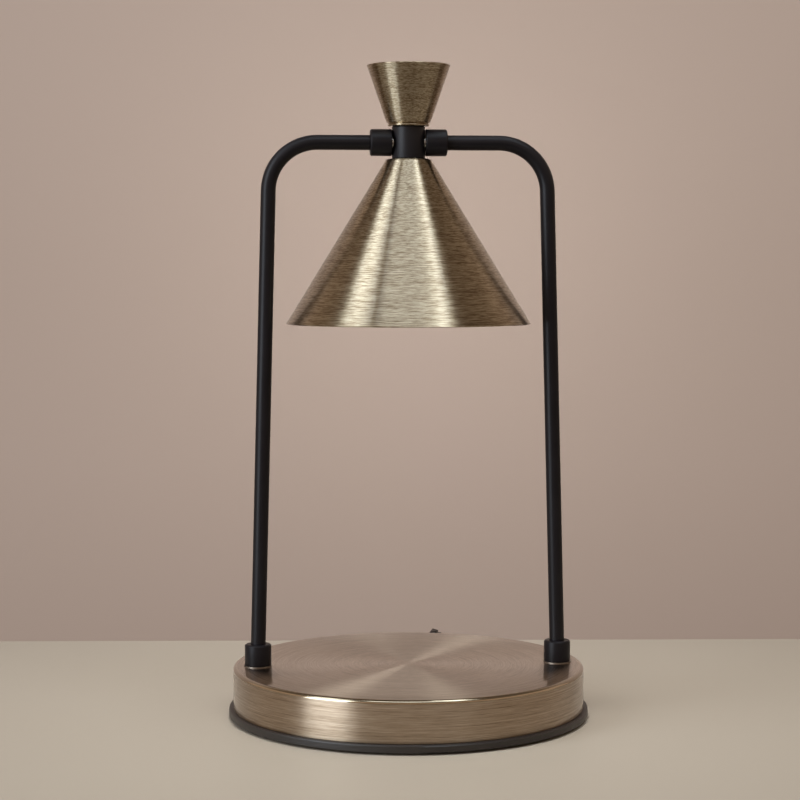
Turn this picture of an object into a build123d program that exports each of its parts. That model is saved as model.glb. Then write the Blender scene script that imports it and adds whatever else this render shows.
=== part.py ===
from build123d import *
import math
import os

# Candle warmer lamp: a weighted round base, a hoop of two bent tubes, and a cone shade with its
# finial that tilts between the two arms. Millimetres, +Z up, X across the hoop, Y front to back.
# The origin is the middle of the footprint, on the table.

# ---- Base ----
plate_diameter = 170.0
plate_floor = 1.8
plate_rim_height = 3.8
plate_edge_round = 0.8
lip_height = 2.5
lip_thickness = 1.5
pad_inset = 6.0            # the pad's edge in from the plate's
pad_thickness = 0.8
cover_setback = 1.95       # the cover's wall in from the plate's edge
cover_height = 19.3
cover_wall = 1.0
cover_edge_round = 1.5
weight_gap = 3.05          # between the counterweight and the cover's wall
weight_thickness = 4.5

# ---- Hoop: two bent tubes with their collars ----
tube_diameter = 7.0
tube_wall = 1.0
bend_radius = 23.0
leg_inset = 11.65       # a leg's centre in from the cover's wall, where it enters the cover
leg_splay = 1.5         # each leg leans inwards by this many degrees
arm_height = 270.0
collar_diameter = 12.5
collar_chamfer = 0.5
foot_collar_length = 10.0
seat_washer_diameter = 13.1
seat_washer_thickness = 0.4
arm_collar_length = 10.1
leg_thread_length = 11.0
nut_flats = 11.0
nut_thickness = 4.0
washer_diameter = 13.0
washer_thickness = 0.8

# ---- Head: hub, pivot, finial and shade ----
hub_diameter = 15.5
hub_height = 15.2
pivot_diameter = 6.0
pivot_bore = 3.8
pivot_length = 6.6
bush_wall = 1.0
bush_length = 4.2
nipple_diameter = 10.0
nipple_bore = 7.2
finial_bottom_diameter = 19.5
finial_top_diameter = 39.0
finial_height = 28.3
finial_wall = 1.3
finial_floor = 4.0
finial_boss_diameter = 15.0
finial_boss_height = 11.5
cap_thickness = 1.2
shade_top_diameter = 20.7
shade_rim_diameter = 115.1
shade_height = 77.1
shade_wall = 1.0
shade_shoulder = 1.8
shade_nut_flats = 13.5
shade_nut_thickness = 3.0
shade_washer_diameter = 16.0

# ---- Lampholder and bulb ----
bracket_diameter = 23.0
bracket_thickness = 1.5
bracket_gap = 0.6
holder_diameter = 25.0
holder_height = 17.0
pin_spacing = 10.0
pin_head_diameter = 5.0
pin_head_length = 2.4
pin_neck_diameter = 3.0
pin_neck_length = 4.6
twist_angle = 25.0
bulb_diameter = 50.0
bulb_length = 47.0
bulb_base_height = 16.0
bulb_base_diameter = 23.0
bulb_neck_diameter = 18.0
bulb_wall = 1.2
bulb_shoulder = 3.0        # height of the cap's taper at its top
bulb_step = 2.0            # height of its taper at the neck
bulb_flare = 1.0           # how far the cap stands out from the neck
bulb_bead = 4.0            # straight edge of the bell behind the lens
lens_thickness = 2.0
capsule_diameter = 8.4
capsule_length = 17.0
capsule_seat = 3.0

# ---- Wiring and dimmer ----
cord_diameter = 5.0
lead_diameter = 3.0
cord_exit_angle = 60.0      # from +X, seen from above
cord_exit_height = 13.5
relief_flange_diameter = 11.0
relief_flange_thickness = 1.5
relief_neck_diameter = 7.2
relief_root_diameter = 8.8
relief_tip_diameter = 6.2
relief_length = 20.0
wheel_angle = 120.0
wheel_diameter = 27.4
wheel_thickness = 4.4
wheel_reach = 1.7           # how far the wheel's edge stands out of the cover
wheel_height = 9.8
wheel_grooves = 36
groove_radius = 0.6
spindle_diameter = 6.0
pot_side = 15.0
pot_height = 3.0
board_length = 34.0
board_width = 22.0
board_thickness = 1.6
board_post_height = 2.2
board_post_diameter = 5.0
board_post_inset = 3.0
block_length = 24.0
block_width = 16.0
block_height = 9.0
clip_length = 20.0
clip_width = 8.0
clip_ledge = 5.8
clip_height = 6.6
clip_inset = 32.0           # the clip's middle in from the cover's wall
clamp_depth = 5.0
clamp_screw_length = 4.0
inner_run = 9.0             # the cord's level run inside its relief
inner_drop = 13.0           # the run in which it comes down to the clip
inner_radius = 24.0         # where it turns to the block
inner_bend = 4.0
block_port = (6.0, 4.0)     # where it enters the block: across, and below its top
holder_recess = 5.0

# ---- Fasteners and clearances ----
screw_diameter = 3.0
screw_head_diameter = 5.6
screw_head_height = 1.5
pillar_diameter = 6.0
pillar_inset = 23.05       # a pillar's centre in from the cover's wall
pillar_tap_depth = 7.0
screw_bite = 6.0            # how far a screw goes into its tapped piece
tap_floor = 0.6             # metal left under a tapped hole in the plate
tip_gap = 0.2
pillar_stud = 3.0
thread_clearance = 0.05     # radial, a screw in its tapped hole
through_clearance = 0.25    # radial, a screw or tube in a plain hole
running_clearance = 0.05    # radial, a pin that turns in its bush
seat_clearance = 0.2        # between a pressed or located edge and its seat
face_gap = 0.15             # between a turning part and the face beside it

# ---- Cord lying behind the base ----
coil_center = (18.0, 117.7)
coil_middle_diameter = 52.0
coil_columns = 3
coil_layers = 2
coil_leave_angle = 147.0
tie_angle = 74.9
tie_width = 6.5
tie_thickness = 0.6
tie_head = (6.5, 5.5, 2.0)
plug_body = (24.0, 21.0, 12.0)
plug_relief_length = 12.0
plug_relief_diameter = 8.0
plug_cord_height = 6.2
plug_heading = 216.0
blade_spacing = 12.7
blade_length = 17.0
blade_thickness = 1.5
blade_heights = (6.3, 7.9)

# ---- Levels and places that follow from the sizes ----
pad_diameter = plate_diameter - 2 * pad_inset
cover_diameter = plate_diameter - 2 * cover_setback
weight_diameter = cover_diameter - 2 * cover_wall - 2 * weight_gap
leg_span = cover_diameter - 2 * leg_inset
pillar_circle = cover_diameter - 2 * pillar_inset
plate_bottom = pad_thickness
floor_top = plate_bottom + plate_floor
cover_bottom = plate_bottom + plate_rim_height
cover_top = cover_bottom + cover_height
cover_inner_radius = cover_diameter / 2 - cover_wall
weight_top = cover_top - cover_wall
weight_bottom = weight_top - weight_thickness
tube_radius = tube_diameter / 2
splay_slope = math.tan(math.radians(leg_splay))
hub_radius = hub_diameter / 2
hub_bottom = arm_height - hub_height / 2
hub_top = hub_bottom + hub_height
collar_start = hub_radius + face_gap
tube_end = collar_start + bush_length + seat_clearance
shade_top = hub_bottom
shade_bottom = shade_top - shade_height
shade_slope = (shade_rim_diameter - shade_top_diameter) / 2 / shade_height
shade_washer_top = shade_top - shade_wall
shade_nut_top = shade_washer_top - washer_thickness
bracket_top = shade_nut_top - shade_nut_thickness - bracket_gap
bracket_bottom = bracket_top - bracket_thickness
holder_bottom = bracket_bottom - holder_height
finial_bottom = hub_top
finial_top = finial_bottom + finial_height
bulb_top = holder_bottom - face_gap
bulb_front = bulb_top - bulb_length
bulb_neck = bulb_top - bulb_base_height
pin_head_bottom = bulb_top + pin_neck_length
pin_tip = pin_head_bottom + pin_head_length
screw_circle_holder = holder_diameter - screw_head_diameter - 2.0
coil_inner = coil_middle_diameter / 2 - coil_columns * cord_diameter / 2
coil_outer = coil_middle_diameter / 2 + coil_columns * cord_diameter / 2
coil_bottom = tie_thickness
coil_top = coil_bottom + coil_layers * cord_diameter
top_layer = coil_top - cord_diameter / 2
bottom_layer = coil_bottom + cord_diameter / 2


def polar(radius, degrees, z=0.0, center=(0.0, 0.0)):
    """The point at this radius and angle about a centre."""
    angle = math.radians(degrees)
    return (center[0] + radius * math.cos(angle), center[1] + radius * math.sin(angle), z)


def leg_x(z):
    """How far a leg's centre line is from the middle at height z."""
    return leg_span / 2 - (z - cover_top) * splay_slope


def cylinder(radius, z_low, z_high, x=0.0, y=0.0):
    """A standing cylinder between two heights."""
    return Pos(x, y, (z_low + z_high) / 2) * Cylinder(radius, z_high - z_low)


def cross_cylinder(radius, x_low, x_high, z):
    """A cylinder along X between two places."""
    return Pos((x_low + x_high) / 2, 0, z) * Rot(0, 90, 0) * Cylinder(radius, abs(x_high - x_low))


def block(length, width, z_low, z_high, place=(0.0, 0.0), turn=0.0):
    """A box between two heights, turned about its own middle."""
    height = z_high - z_low
    return Pos(place[0], place[1], z_low + height / 2) * Rot(0, 0, turn) * Box(length, width, height)


def hexagon(flats, z_low, z_high, x=0.0):
    """A hexagonal bar between two heights."""
    outline = Pos(x, 0, z_low) * RegularPolygon(flats / 2, 6, major_radius=False)
    return extrude(outline, z_high - z_low)


def revolved(*points):
    """A solid turned about Z from an outline of (radius, z) points."""
    outline = make_face(Polyline(*[(r, 0, z) for r, z in points], close=True))
    return revolve(outline, Axis.Z)


def radial(solid, degrees, height):
    """Lays a solid that was built along +Z from 0 outwards along a radius of the base."""
    return Rot(0, 0, degrees) * Pos(0, 0, height) * Rot(0, 90, 0) * solid


def aimed(solid, start, heading):
    """Lays a solid that was built along +Z from 0 along a level heading, from a start point."""
    return Pos(*start) * Rot(0, 0, heading) * Rot(0, 90, 0) * solid


def mirrored(solid):
    """The same solid on the other side of the YZ plane."""
    return mirror(solid, about=Plane.YZ)


def swept(path, radius):
    """A round bar along a path."""
    start = Plane(path @ 0, z_dir=path % 0)
    return sweep(start * Circle(radius), path=path)


def save(node, *solids):
    """Writes one node, of one solid or a group of separate ones."""
    shape = solids[0] if len(solids) == 1 else Compound(children=[Part() + s for s in solids])
    export_step(shape, f"parts/{node}.step")


# ---- Base ----
def pillar_places():
    """Where the three pillars stand: one at the front and two at the back."""
    return [polar(pillar_circle / 2, angle) for angle in (270.0, 30.0, 150.0)]


def foot_pad():
    """The thin anti-slip pad under the plate."""
    return cylinder(pad_diameter / 2, 0, pad_thickness)


def base_plate():
    """The black plate with its raised rim, locating lip and the posts for what stands on it."""
    edge = plate_diameter / 2
    lip_outer = cover_inner_radius - seat_clearance
    lip_inner = lip_outer - lip_thickness
    plate = revolved(
        (0, plate_bottom), (edge, plate_bottom), (edge, cover_bottom), (lip_outer, cover_bottom),
        (lip_outer, cover_bottom + lip_height), (lip_inner, cover_bottom + lip_height),
        (lip_inner, floor_top), (0, floor_top),
    )
    rims = plate.edges().filter_by(GeomType.CIRCLE).filter_by(lambda e: abs(e.radius - edge) < 0.01)
    plate = fillet(rims, plate_edge_round)
    for x, y, _ in board_posts():
        plate += cylinder(board_post_diameter / 2, floor_top, floor_top + board_post_height, x, y)
    plate += clip_place(block(clip_length, clip_width, floor_top, floor_top + clip_ledge))
    for x, y, _ in pillar_places():
        plate -= cylinder(screw_diameter / 2 + through_clearance, plate_bottom, floor_top, x, y)
        plate -= Pos(x, y, plate_bottom + screw_head_height / 2) * Cone(
            screw_head_diameter / 2 + through_clearance, screw_diameter / 2 + through_clearance,
            screw_head_height)
    for x, y, _ in tapped_places():
        plate -= cylinder(screw_diameter / 2 + thread_clearance, plate_bottom + tap_floor, cover_top, x, y)
    return plate


def plate_screws():
    """Three countersunk screws up through the plate into the pillars."""
    shank = cylinder(screw_diameter / 2, plate_bottom, floor_top + screw_bite)
    head = Pos(0, 0, plate_bottom + screw_head_height / 2) * Cone(
        screw_head_diameter / 2, screw_diameter / 2, screw_head_height)
    return [Pos(x, y, 0) * (shank + head) for x, y, _ in pillar_places()]


def plate_pillars():
    """Three tapped pillars between the counterweight and the plate, each with a stud on top."""
    body = cylinder(pillar_diameter / 2, floor_top, weight_bottom)
    body += cylinder(screw_diameter / 2, weight_bottom, weight_bottom + pillar_stud)
    body -= cylinder(screw_diameter / 2 + thread_clearance, floor_top, floor_top + pillar_tap_depth)
    return [Pos(x, y, 0) * body for x, y, _ in pillar_places()]


def base_cover():
    """The brass pan: a flat top and a straight wall, with holes for the legs, cord and wheel."""
    radius = cover_diameter / 2
    cover = cylinder(radius, cover_bottom, cover_top)
    cover = fillet(cover.edges().sort_by(Axis.Z)[-1], cover_edge_round)
    hollow = cylinder(cover_inner_radius, cover_bottom, weight_top)
    inner_round = max(cover_edge_round - cover_wall, 0.1)
    cover -= fillet(hollow.edges().sort_by(Axis.Z)[-1], inner_round)
    for side in (-1, 1):
        cover -= cylinder(tube_radius + through_clearance, weight_top, cover_top, side * leg_x(cover_top))
    bore = cylinder(relief_neck_diameter / 2, radius - 4 * cover_wall, radius + 2 * cover_wall)
    cover -= radial(bore, cord_exit_angle, cord_exit_height)
    slot = Pos(radius, 0, wheel_height + wheel_thickness / 2) * Box(
        4 * cover_wall, wheel_slot_width(), wheel_thickness + 2 * seat_clearance)
    cover -= Rot(0, 0, wheel_angle) * slot
    return cover


def counterweight():
    """The cast iron disc that the leg nuts clamp under the cover."""
    weight = cylinder(weight_diameter / 2, weight_bottom, weight_top)
    for side in (-1, 1):
        x = side * leg_x(weight_bottom + weight_thickness / 2)
        weight -= cylinder(tube_radius + through_clearance, weight_bottom, weight_top, x)
    for x, y, _ in pillar_places():
        hole = screw_diameter / 2 + thread_clearance
        weight -= cylinder(hole, weight_bottom, weight_bottom + pillar_stud + seat_clearance, x, y)
    return weight


# ---- Hoop ----
def hoop_path(side, z_low, x_end):
    """One half of the hoop's centre line, from a height on the leg round to a place on the arm."""
    foot = (side * leg_x(z_low), 0, z_low)
    corner = (side * leg_x(arm_height), 0, arm_height)
    return FilletPolyline(foot, corner, (side * x_end, 0, arm_height), radius=bend_radius)


def tube_foot():
    """The height of a leg's lower end."""
    return cover_top - leg_thread_length


def frame_tube(side):
    """A bent tube: leg, bend and arm in one."""
    path = hoop_path(side, tube_foot(), tube_end)
    outside = swept(path, tube_radius)
    return outside - swept(path, tube_radius - tube_wall)


def seat_washer(side):
    """The thin bright washer between the cover and a leg's collar."""
    top = cover_top + seat_washer_thickness
    ring = cylinder(seat_washer_diameter / 2, cover_top, top)
    ring -= cylinder(tube_radius + through_clearance, cover_top, top)
    return Pos(side * leg_x(cover_top), 0, 0) * ring


def foot_collar(side):
    """The collar that stands on its washer round a leg."""
    low = cover_top + seat_washer_thickness
    top = low + foot_collar_length
    collar = cylinder(collar_diameter / 2, low, top)
    collar = chamfer(collar.edges().sort_by(Axis.Z)[-1], collar_chamfer)
    collar -= cylinder(tube_radius + through_clearance, low, top)
    return Pos(side * leg_x((low + top) / 2), 0, 0) * collar


def leg_washer(side):
    """The washer between the counterweight and a leg's nut."""
    low = weight_bottom - washer_thickness
    ring = cylinder(washer_diameter / 2, low, weight_bottom)
    ring -= cylinder(tube_radius + through_clearance, low, weight_bottom)
    return Pos(side * leg_x(low), 0, 0) * ring


def leg_nut(side):
    """The nut on a leg's threaded end."""
    high = weight_bottom - washer_thickness
    low = high - nut_thickness
    nut = hexagon(nut_flats, low, high) - cylinder(tube_radius + through_clearance, low, high)
    return Pos(side * leg_x((low + high) / 2), 0, 0) * nut


def arm_collar():
    """The right-hand collar at the hub: it grips the arm and holds the pivot's bush."""
    outer_end = collar_start + arm_collar_length
    collar = cross_cylinder(collar_diameter / 2, collar_start, outer_end, arm_height)
    collar = chamfer(collar.edges().filter_by(GeomType.CIRCLE), collar_chamfer)
    collar -= cross_cylinder(tube_radius + running_clearance, tube_end, outer_end, arm_height)
    bush_seat = pivot_diameter / 2 + bush_wall + running_clearance
    collar -= cross_cylinder(bush_seat, collar_start, tube_end, arm_height)
    tapped = Rot(90, 0, 0) * Cylinder(screw_diameter / 2 + thread_clearance, collar_diameter / 2)
    collar -= Pos(grub_x(), collar_diameter / 4, arm_height) * tapped
    return collar


def grub_x():
    """Where along the arm the grub screw bites."""
    return (tube_end + collar_start + arm_collar_length) / 2


def grub_screw(side):
    """The grub screw in the back of an arm collar, against the tube."""
    length = (collar_diameter - tube_diameter) / 2 - seat_clearance
    screw = Rot(90, 0, 0) * Cylinder(screw_diameter / 2, length)
    screw -= Pos(0, length / 2, 0) * Rot(90, 0, 0) * Cylinder(screw_diameter / 4, length)
    return Pos(side * grub_x(), tube_radius + seat_clearance / 2 + length / 2, arm_height) * screw


def pivot_bush():
    """The right-hand nylon bush that the pivot turns in."""
    inner = pivot_diameter / 2 + running_clearance
    outer = pivot_diameter / 2 + bush_wall
    bush = cross_cylinder(outer, collar_start, collar_start + bush_length, arm_height)
    return bush - cross_cylinder(inner, collar_start, collar_start + bush_length, arm_height)


# ---- Head ----
def pivot_pin():
    """The right-hand hollow pin, screwed into the hub's wall and free in its bush."""
    start = nipple_diameter / 2 + 2 * seat_clearance
    pin = cross_cylinder(pivot_diameter / 2, start, start + pivot_length, arm_height)
    return pin - cross_cylinder(pivot_bore / 2, start, start + pivot_length, arm_height)


def hub():
    """The black drum between finial and shade, bored through and tapped for the pivots."""
    drum = cylinder(hub_radius, hub_bottom, hub_top)
    drum -= cylinder(nipple_diameter / 2 + seat_clearance, hub_bottom, hub_top)
    return drum - cross_cylinder(pivot_diameter / 2 + thread_clearance, -hub_radius, hub_radius, arm_height)


def nipple():
    """The hollow threaded rod that ties finial, hub, shade and bracket together."""
    top = finial_bottom + finial_boss_height - 2 * seat_clearance - cap_thickness
    rod = cylinder(nipple_diameter / 2, bracket_bottom, top)
    rod -= cylinder(nipple_bore / 2, bracket_bottom, top)
    return rod - cross_cylinder(pivot_bore / 2, -nipple_diameter / 2, 0, arm_height)


def finial_cone():
    """The upturned brass cone, open at the top, with a tapped boss inside."""
    bottom, top = finial_bottom_diameter / 2, finial_top_diameter / 2
    slope = (top - bottom) / finial_height
    wall = finial_wall * math.hypot(1, slope)
    floor = finial_bottom + finial_floor
    ledge = finial_top - cap_thickness
    cone = revolved(
        (0, finial_bottom), (bottom, finial_bottom), (top, finial_top), (top - finial_wall, finial_top),
        (top - finial_wall, ledge), (bottom + slope * (finial_height - cap_thickness) - wall, ledge),
        (bottom + slope * finial_floor - wall, floor), (0, floor),
    )
    cone += cylinder(finial_boss_diameter / 2, finial_bottom, finial_bottom + finial_boss_height)
    depth = finial_boss_height - cap_thickness
    return cone - cylinder(nipple_diameter / 2 + thread_clearance, finial_bottom, finial_bottom + depth)


def finial_cap():
    """The brass disc pressed into the top of the finial."""
    radius = finial_top_diameter / 2 - finial_wall - running_clearance
    return cylinder(radius, finial_top - cap_thickness, finial_top)


def shade():
    """The spun brass cone with a flat top and a rounded shoulder."""
    top, rim = shade_top_diameter / 2, shade_rim_diameter / 2
    wall = shade_wall * math.hypot(1, shade_slope)
    under = shade_top - shade_wall
    cone = revolved((0, shade_bottom), (rim, shade_bottom), (top, shade_top), (0, shade_top))
    cone = fillet(cone.edges().sort_by(Axis.Z)[-1], shade_shoulder)
    inner_top = top + shade_slope * shade_wall - wall
    cone -= revolved((0, shade_bottom), (rim - wall, shade_bottom), (inner_top, under), (0, under))
    return cone - cylinder(nipple_diameter / 2 + through_clearance, under, shade_top)


def shade_washer():
    """The washer under the shade's top."""
    ring = cylinder(shade_washer_diameter / 2, shade_nut_top, shade_washer_top)
    return ring - cylinder(nipple_diameter / 2 + through_clearance, shade_nut_top, shade_washer_top)


def shade_nut():
    """The nut that pulls the shade up against the hub."""
    low = shade_nut_top - shade_nut_thickness
    nut = hexagon(shade_nut_flats, low, shade_nut_top)
    return nut - cylinder(nipple_diameter / 2 + thread_clearance, low, shade_nut_top)


def holder_screw_places():
    """Where the two screws hold the lampholder, front and back of its pins."""
    return [polar(screw_circle_holder / 2, angle) for angle in (90.0, 270.0)]


def holder_bracket():
    """The steel disc on the rod's lower end that carries the lampholder."""
    disc = cylinder(bracket_diameter / 2, bracket_bottom, bracket_top)
    disc -= cylinder(nipple_diameter / 2 + thread_clearance, bracket_bottom, bracket_top)
    for x, y, _ in holder_screw_places():
        disc -= cylinder(screw_diameter / 2 + thread_clearance, bracket_bottom, bracket_top, x, y)
    return disc


def keyway(radius, z_low, z_high):
    """The curved slot that a bulb pin travels in, from locked to free."""
    arc = CenterArc((0, 0, 0), pin_spacing / 2, -twist_angle, twist_angle)
    return Pos(0, 0, z_low) * extrude(SlotArc(arc, 2 * radius), z_high - z_low)


def lampholder():
    """The ceramic twist-lock lampholder with its two keyways."""
    top = holder_bottom + holder_height
    body = cylinder(holder_diameter / 2, holder_bottom, top)
    body = chamfer(body.edges().sort_by(Axis.Z)[-1], 1.0)
    slack = through_clearance
    pocket_low = pin_head_bottom - 2 * slack
    pocket_high = pin_tip + slack
    neck_slot = keyway(pin_neck_diameter / 2 + slack, holder_bottom, pocket_low)
    head_slot = keyway(pin_head_diameter / 2 + slack, pocket_low, pocket_high)
    entry = cylinder(pin_head_diameter / 2 + slack, holder_bottom, pocket_low, pin_spacing / 2)
    entry = Rot(0, 0, -twist_angle) * entry
    for turn in (0, 180):
        body -= Rot(0, 0, turn) * (neck_slot + head_slot + entry)
        body -= Rot(0, 0, turn) * contact_blank(seat_clearance / 2)
    body -= cylinder(nipple_bore / 2, top - holder_recess, top)
    for x, y, _ in holder_screw_places():
        body -= cylinder(screw_diameter / 2 + through_clearance, holder_bottom, top, x, y)
        head = screw_head_diameter / 2 + through_clearance
        body -= cylinder(head, holder_bottom, holder_bottom + 2 * screw_head_height, x, y)
    return body


def contact_blank(grow=0.0):
    """A spring contact's block above a pin, or its pocket when it is grown a little."""
    low = pin_tip + through_clearance
    return Pos(pin_spacing / 2, 0, low + 0.75) * Box(4 + 2 * grow, 4 + 2 * grow, 1.5 + 2 * grow)


def holder_screws():
    """The two screws from the lampholder's face up into the bracket."""
    low = holder_bottom + screw_head_height
    screw = cylinder(screw_head_diameter / 2, low, low + screw_head_height)
    screw += cylinder(screw_diameter / 2, low, bracket_top)
    return [Pos(x, y, 0) * screw for x, y, _ in holder_screw_places()]


# ---- Bulb ----
def bulb_base():
    """The bulb's ceramic cap."""
    cap = revolved(
        (0, bulb_top), (bulb_neck_diameter / 2, bulb_top),
        (bulb_base_diameter / 2, bulb_top - bulb_shoulder), (bulb_base_diameter / 2, bulb_neck + bulb_step),
        (bulb_neck_diameter / 2 + bulb_flare, bulb_neck), (0, bulb_neck),
    )
    return cap - cylinder(capsule_diameter / 2 + thread_clearance, bulb_neck, bulb_neck + capsule_seat)


def bulb_pins():
    """The two pins with their wider heads."""
    pin = cylinder(pin_neck_diameter / 2, bulb_top, pin_head_bottom)
    pin += cylinder(pin_head_diameter / 2, pin_head_bottom, pin_tip)
    return [Pos(side * pin_spacing / 2, 0, 0) * pin for side in (-1, 1)]


def bell(inset):
    """The reflector's bell as a solid, drawn in by an inset."""
    neck = bulb_neck_diameter / 2 - inset
    rim = bulb_diameter / 2 - inset
    low = bulb_front + lens_thickness
    bead = low + bulb_bead
    middle = (neck + 0.78 * (rim - neck), bead + 0.38 * (bulb_neck - bead))
    side = ThreePointArc((rim, 0, bead), (middle[0], 0, middle[1]), (neck, 0, bulb_neck))
    rest = Polyline((neck, 0, bulb_neck), (0, 0, bulb_neck), (0, 0, low), (rim, 0, low), (rim, 0, bead))
    return revolve(make_face(side + rest), Axis.Z)


def bulb_reflector():
    """The glass bell, silvered inside and open at both ends."""
    return bell(0.0) - bell(bulb_wall)


def bulb_lens():
    """The clear front glass."""
    return cylinder(bulb_diameter / 2, bulb_front, bulb_front + lens_thickness)


def bulb_capsule():
    """The small quartz burner on the bulb's axis, seated in the cap."""
    radius = capsule_diameter / 2
    foot = bulb_neck + capsule_seat - 2 * through_clearance
    tip = foot - capsule_length
    return cylinder(radius, tip + radius, foot) + Pos(0, 0, tip + radius) * Sphere(radius)


# ---- Wiring inside ----
def block_top():
    """The terminal block's upper face."""
    return floor_top + block_height


def terminal_block():
    """The terminal block on the plate's floor."""
    body = block(block_length, block_width, floor_top, block_top())
    for x, y in terminal_places():
        body -= cylinder(screw_diameter / 2 + thread_clearance, block_top() - clamp_depth, block_top(), x, y)
    return body - cylinder(screw_diameter / 2 + through_clearance, floor_top, block_top())


def terminal_places():
    """The four wire clamps of the block."""
    return [(sx * block_length / 3.5, sy * block_width / 4) for sx in (-1, 1) for sy in (-1, 1)]


def terminal_screws():
    """The four wire clamp screws."""
    high = block_top() - 2 * through_clearance
    screw = cylinder(screw_diameter / 2, high - clamp_screw_length, high)
    return [Pos(x, y, 0) * screw for x, y in terminal_places()]


def fixing_screw(top):
    """A pan head screw whose head sits on a face at this height."""
    screw = cylinder(screw_head_diameter / 2, top, top + screw_head_height)
    return screw + cylinder(screw_diameter / 2, plate_bottom + tap_floor + tip_gap, top)


def clip_place(solid):
    """Turns and moves a solid to where the cord clip stands."""
    x, y, _ = polar(cover_diameter / 2 - clip_inset, cord_exit_angle)
    return Pos(x, y, 0) * Rot(0, 0, cord_exit_angle + 90) * solid


def clip_screw_places():
    """The clip's two screws, either side of the cord."""
    reach = clip_length / 2 - screw_diameter
    center = polar(cover_diameter / 2 - clip_inset, cord_exit_angle)
    return [polar(reach, cord_exit_angle + 90 * side, center=center) for side in (-1, 1)]


def clip_cord_height():
    """The height of the cord's centre where the clip holds it."""
    return floor_top + clip_ledge + cord_diameter / 2


def cord_clip():
    """The saddle that clamps the mains cord inside the base."""
    low = floor_top + clip_ledge
    saddle = clip_place(block(clip_length, clip_width, low, low + clip_height))
    start = Pos(0, 0, clip_cord_height()) * Rot(0, 0, cord_exit_angle) * Rot(0, 90, 0)
    saddle -= start * cylinder(cord_diameter / 2 + running_clearance, 0, cover_diameter / 2)
    for x, y, _ in clip_screw_places():
        saddle -= cylinder(screw_diameter / 2 + through_clearance, low, low + clip_height, x, y)
    return saddle


def tapped_places():
    """Every tapped hole in the plate's floor and posts."""
    return [(0.0, 0.0, 0.0), *clip_screw_places(), *board_posts()]


def inner_cord():
    """The mains cord inside the base, from its relief through the clip to the block."""
    level = clip_cord_height()
    entry = relief_inner_face()
    path = FilletPolyline(
        polar(entry, cord_exit_angle, cord_exit_height),
        polar(entry - inner_run, cord_exit_angle, cord_exit_height),
        polar(entry - inner_run - inner_drop, cord_exit_angle, level),
        polar(inner_radius, cord_exit_angle, level),
        (block_port[0], block_width / 2 + inner_bend, block_top() - block_port[1]),
        (block_port[0], block_width / 2, block_top() - block_port[1]),
        radius=inner_bend,
    )
    return swept(path, cord_diameter / 2)


def frame_lead():
    """The lamp's lead, from the block up the left leg and along the arm into the pivot."""
    level = floor_top + lead_diameter
    join = collar_start + 2 * face_gap
    corner = (-leg_x(level), 0, level)
    bend = (-leg_x(arm_height), 0, arm_height)
    path = FilletPolyline(
        (-block_length / 2, 0, level), corner, bend, (-join, 0, arm_height),
        radius=[lead_diameter, bend_radius],
    )
    return swept(path, lead_diameter / 2)


def head_lead():
    """The lead in the head, from the pivot into the rod and down to the lampholder."""
    join = collar_start + face_gap
    end = holder_bottom + holder_height - holder_recess + 2 * through_clearance
    path = FilletPolyline((-join, 0, arm_height), (0, 0, arm_height), (0, 0, end), radius=lead_diameter)
    return swept(path, lead_diameter / 2)


# ---- Dimmer ----
def wheel_center():
    """The middle of the dimmer wheel."""
    return polar(cover_diameter / 2 + wheel_reach - wheel_diameter / 2, wheel_angle)


def wheel_slot_width():
    """The width of the cover's slot, from where the wheel's rim crosses the wall's inner face."""
    radius = wheel_diameter / 2
    away = cover_diameter / 2 + wheel_reach - radius
    cross = (cover_inner_radius**2 + away**2 - radius**2) / (2 * away)
    return 2 * math.sqrt(cover_inner_radius**2 - cross**2) + 4 * seat_clearance


def board_level():
    """The dimmer board's upper face."""
    return floor_top + board_post_height + board_thickness


def board_center():
    """The dimmer board's middle, inwards of the wheel."""
    return polar(cover_diameter / 2 + wheel_reach - wheel_diameter / 2 - board_width / 4, wheel_angle)


def board_posts():
    """The board's two posts, towards its ends."""
    reach = board_length / 2 - board_post_inset
    return [polar(reach, wheel_angle + 90 * side, center=board_center()) for side in (-1, 1)]


def dimmer_board():
    """The dimmer's circuit board."""
    low = board_level() - board_thickness
    board = block(board_width, board_length, low, board_level(), board_center()[:2], wheel_angle)
    for x, y, _ in board_posts():
        board -= cylinder(screw_diameter / 2 + through_clearance, low, board_level(), x, y)
    return board


def board_screws():
    """The two screws that hold the board on its posts."""
    return [Pos(x, y, 0) * fixing_screw(board_level()) for x, y, _ in board_posts()]


def dimmer_pot():
    """The rotary control on the board, bored for the wheel's spindle."""
    x, y, _ = wheel_center()
    top = board_level() + pot_height
    body = block(pot_side, pot_side, board_level(), top, (x, y), wheel_angle)
    bore = spindle_diameter / 2 + running_clearance
    return body - cylinder(bore, board_level() + 2 * through_clearance, top, x, y)


def dimmer_wheel():
    """The knurled wheel with its spindle."""
    x, y, _ = wheel_center()
    radius = wheel_diameter / 2
    wheel = cylinder(radius, wheel_height, wheel_height + wheel_thickness)
    wheel = chamfer(wheel.edges().filter_by(GeomType.CIRCLE), 0.4)
    grooves = [
        Pos(*polar(radius + groove_radius / 2, i * 360 / wheel_grooves, wheel_height + wheel_thickness / 2))
        * Cylinder(groove_radius, wheel_thickness)
        for i in range(wheel_grooves)
    ]
    wheel = wheel - grooves
    wheel += cylinder(spindle_diameter / 2, board_level() + 2 * through_clearance + tip_gap, wheel_height)
    return Pos(x, y, 0) * wheel


# ---- Cord outside ----
def relief_inner_face():
    """How far out the cord relief's inner face lies."""
    inner = cover_inner_radius
    sag = inner - math.sqrt(inner**2 - (relief_flange_diameter / 2)**2)
    return inner - sag - face_gap - relief_flange_thickness


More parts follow.
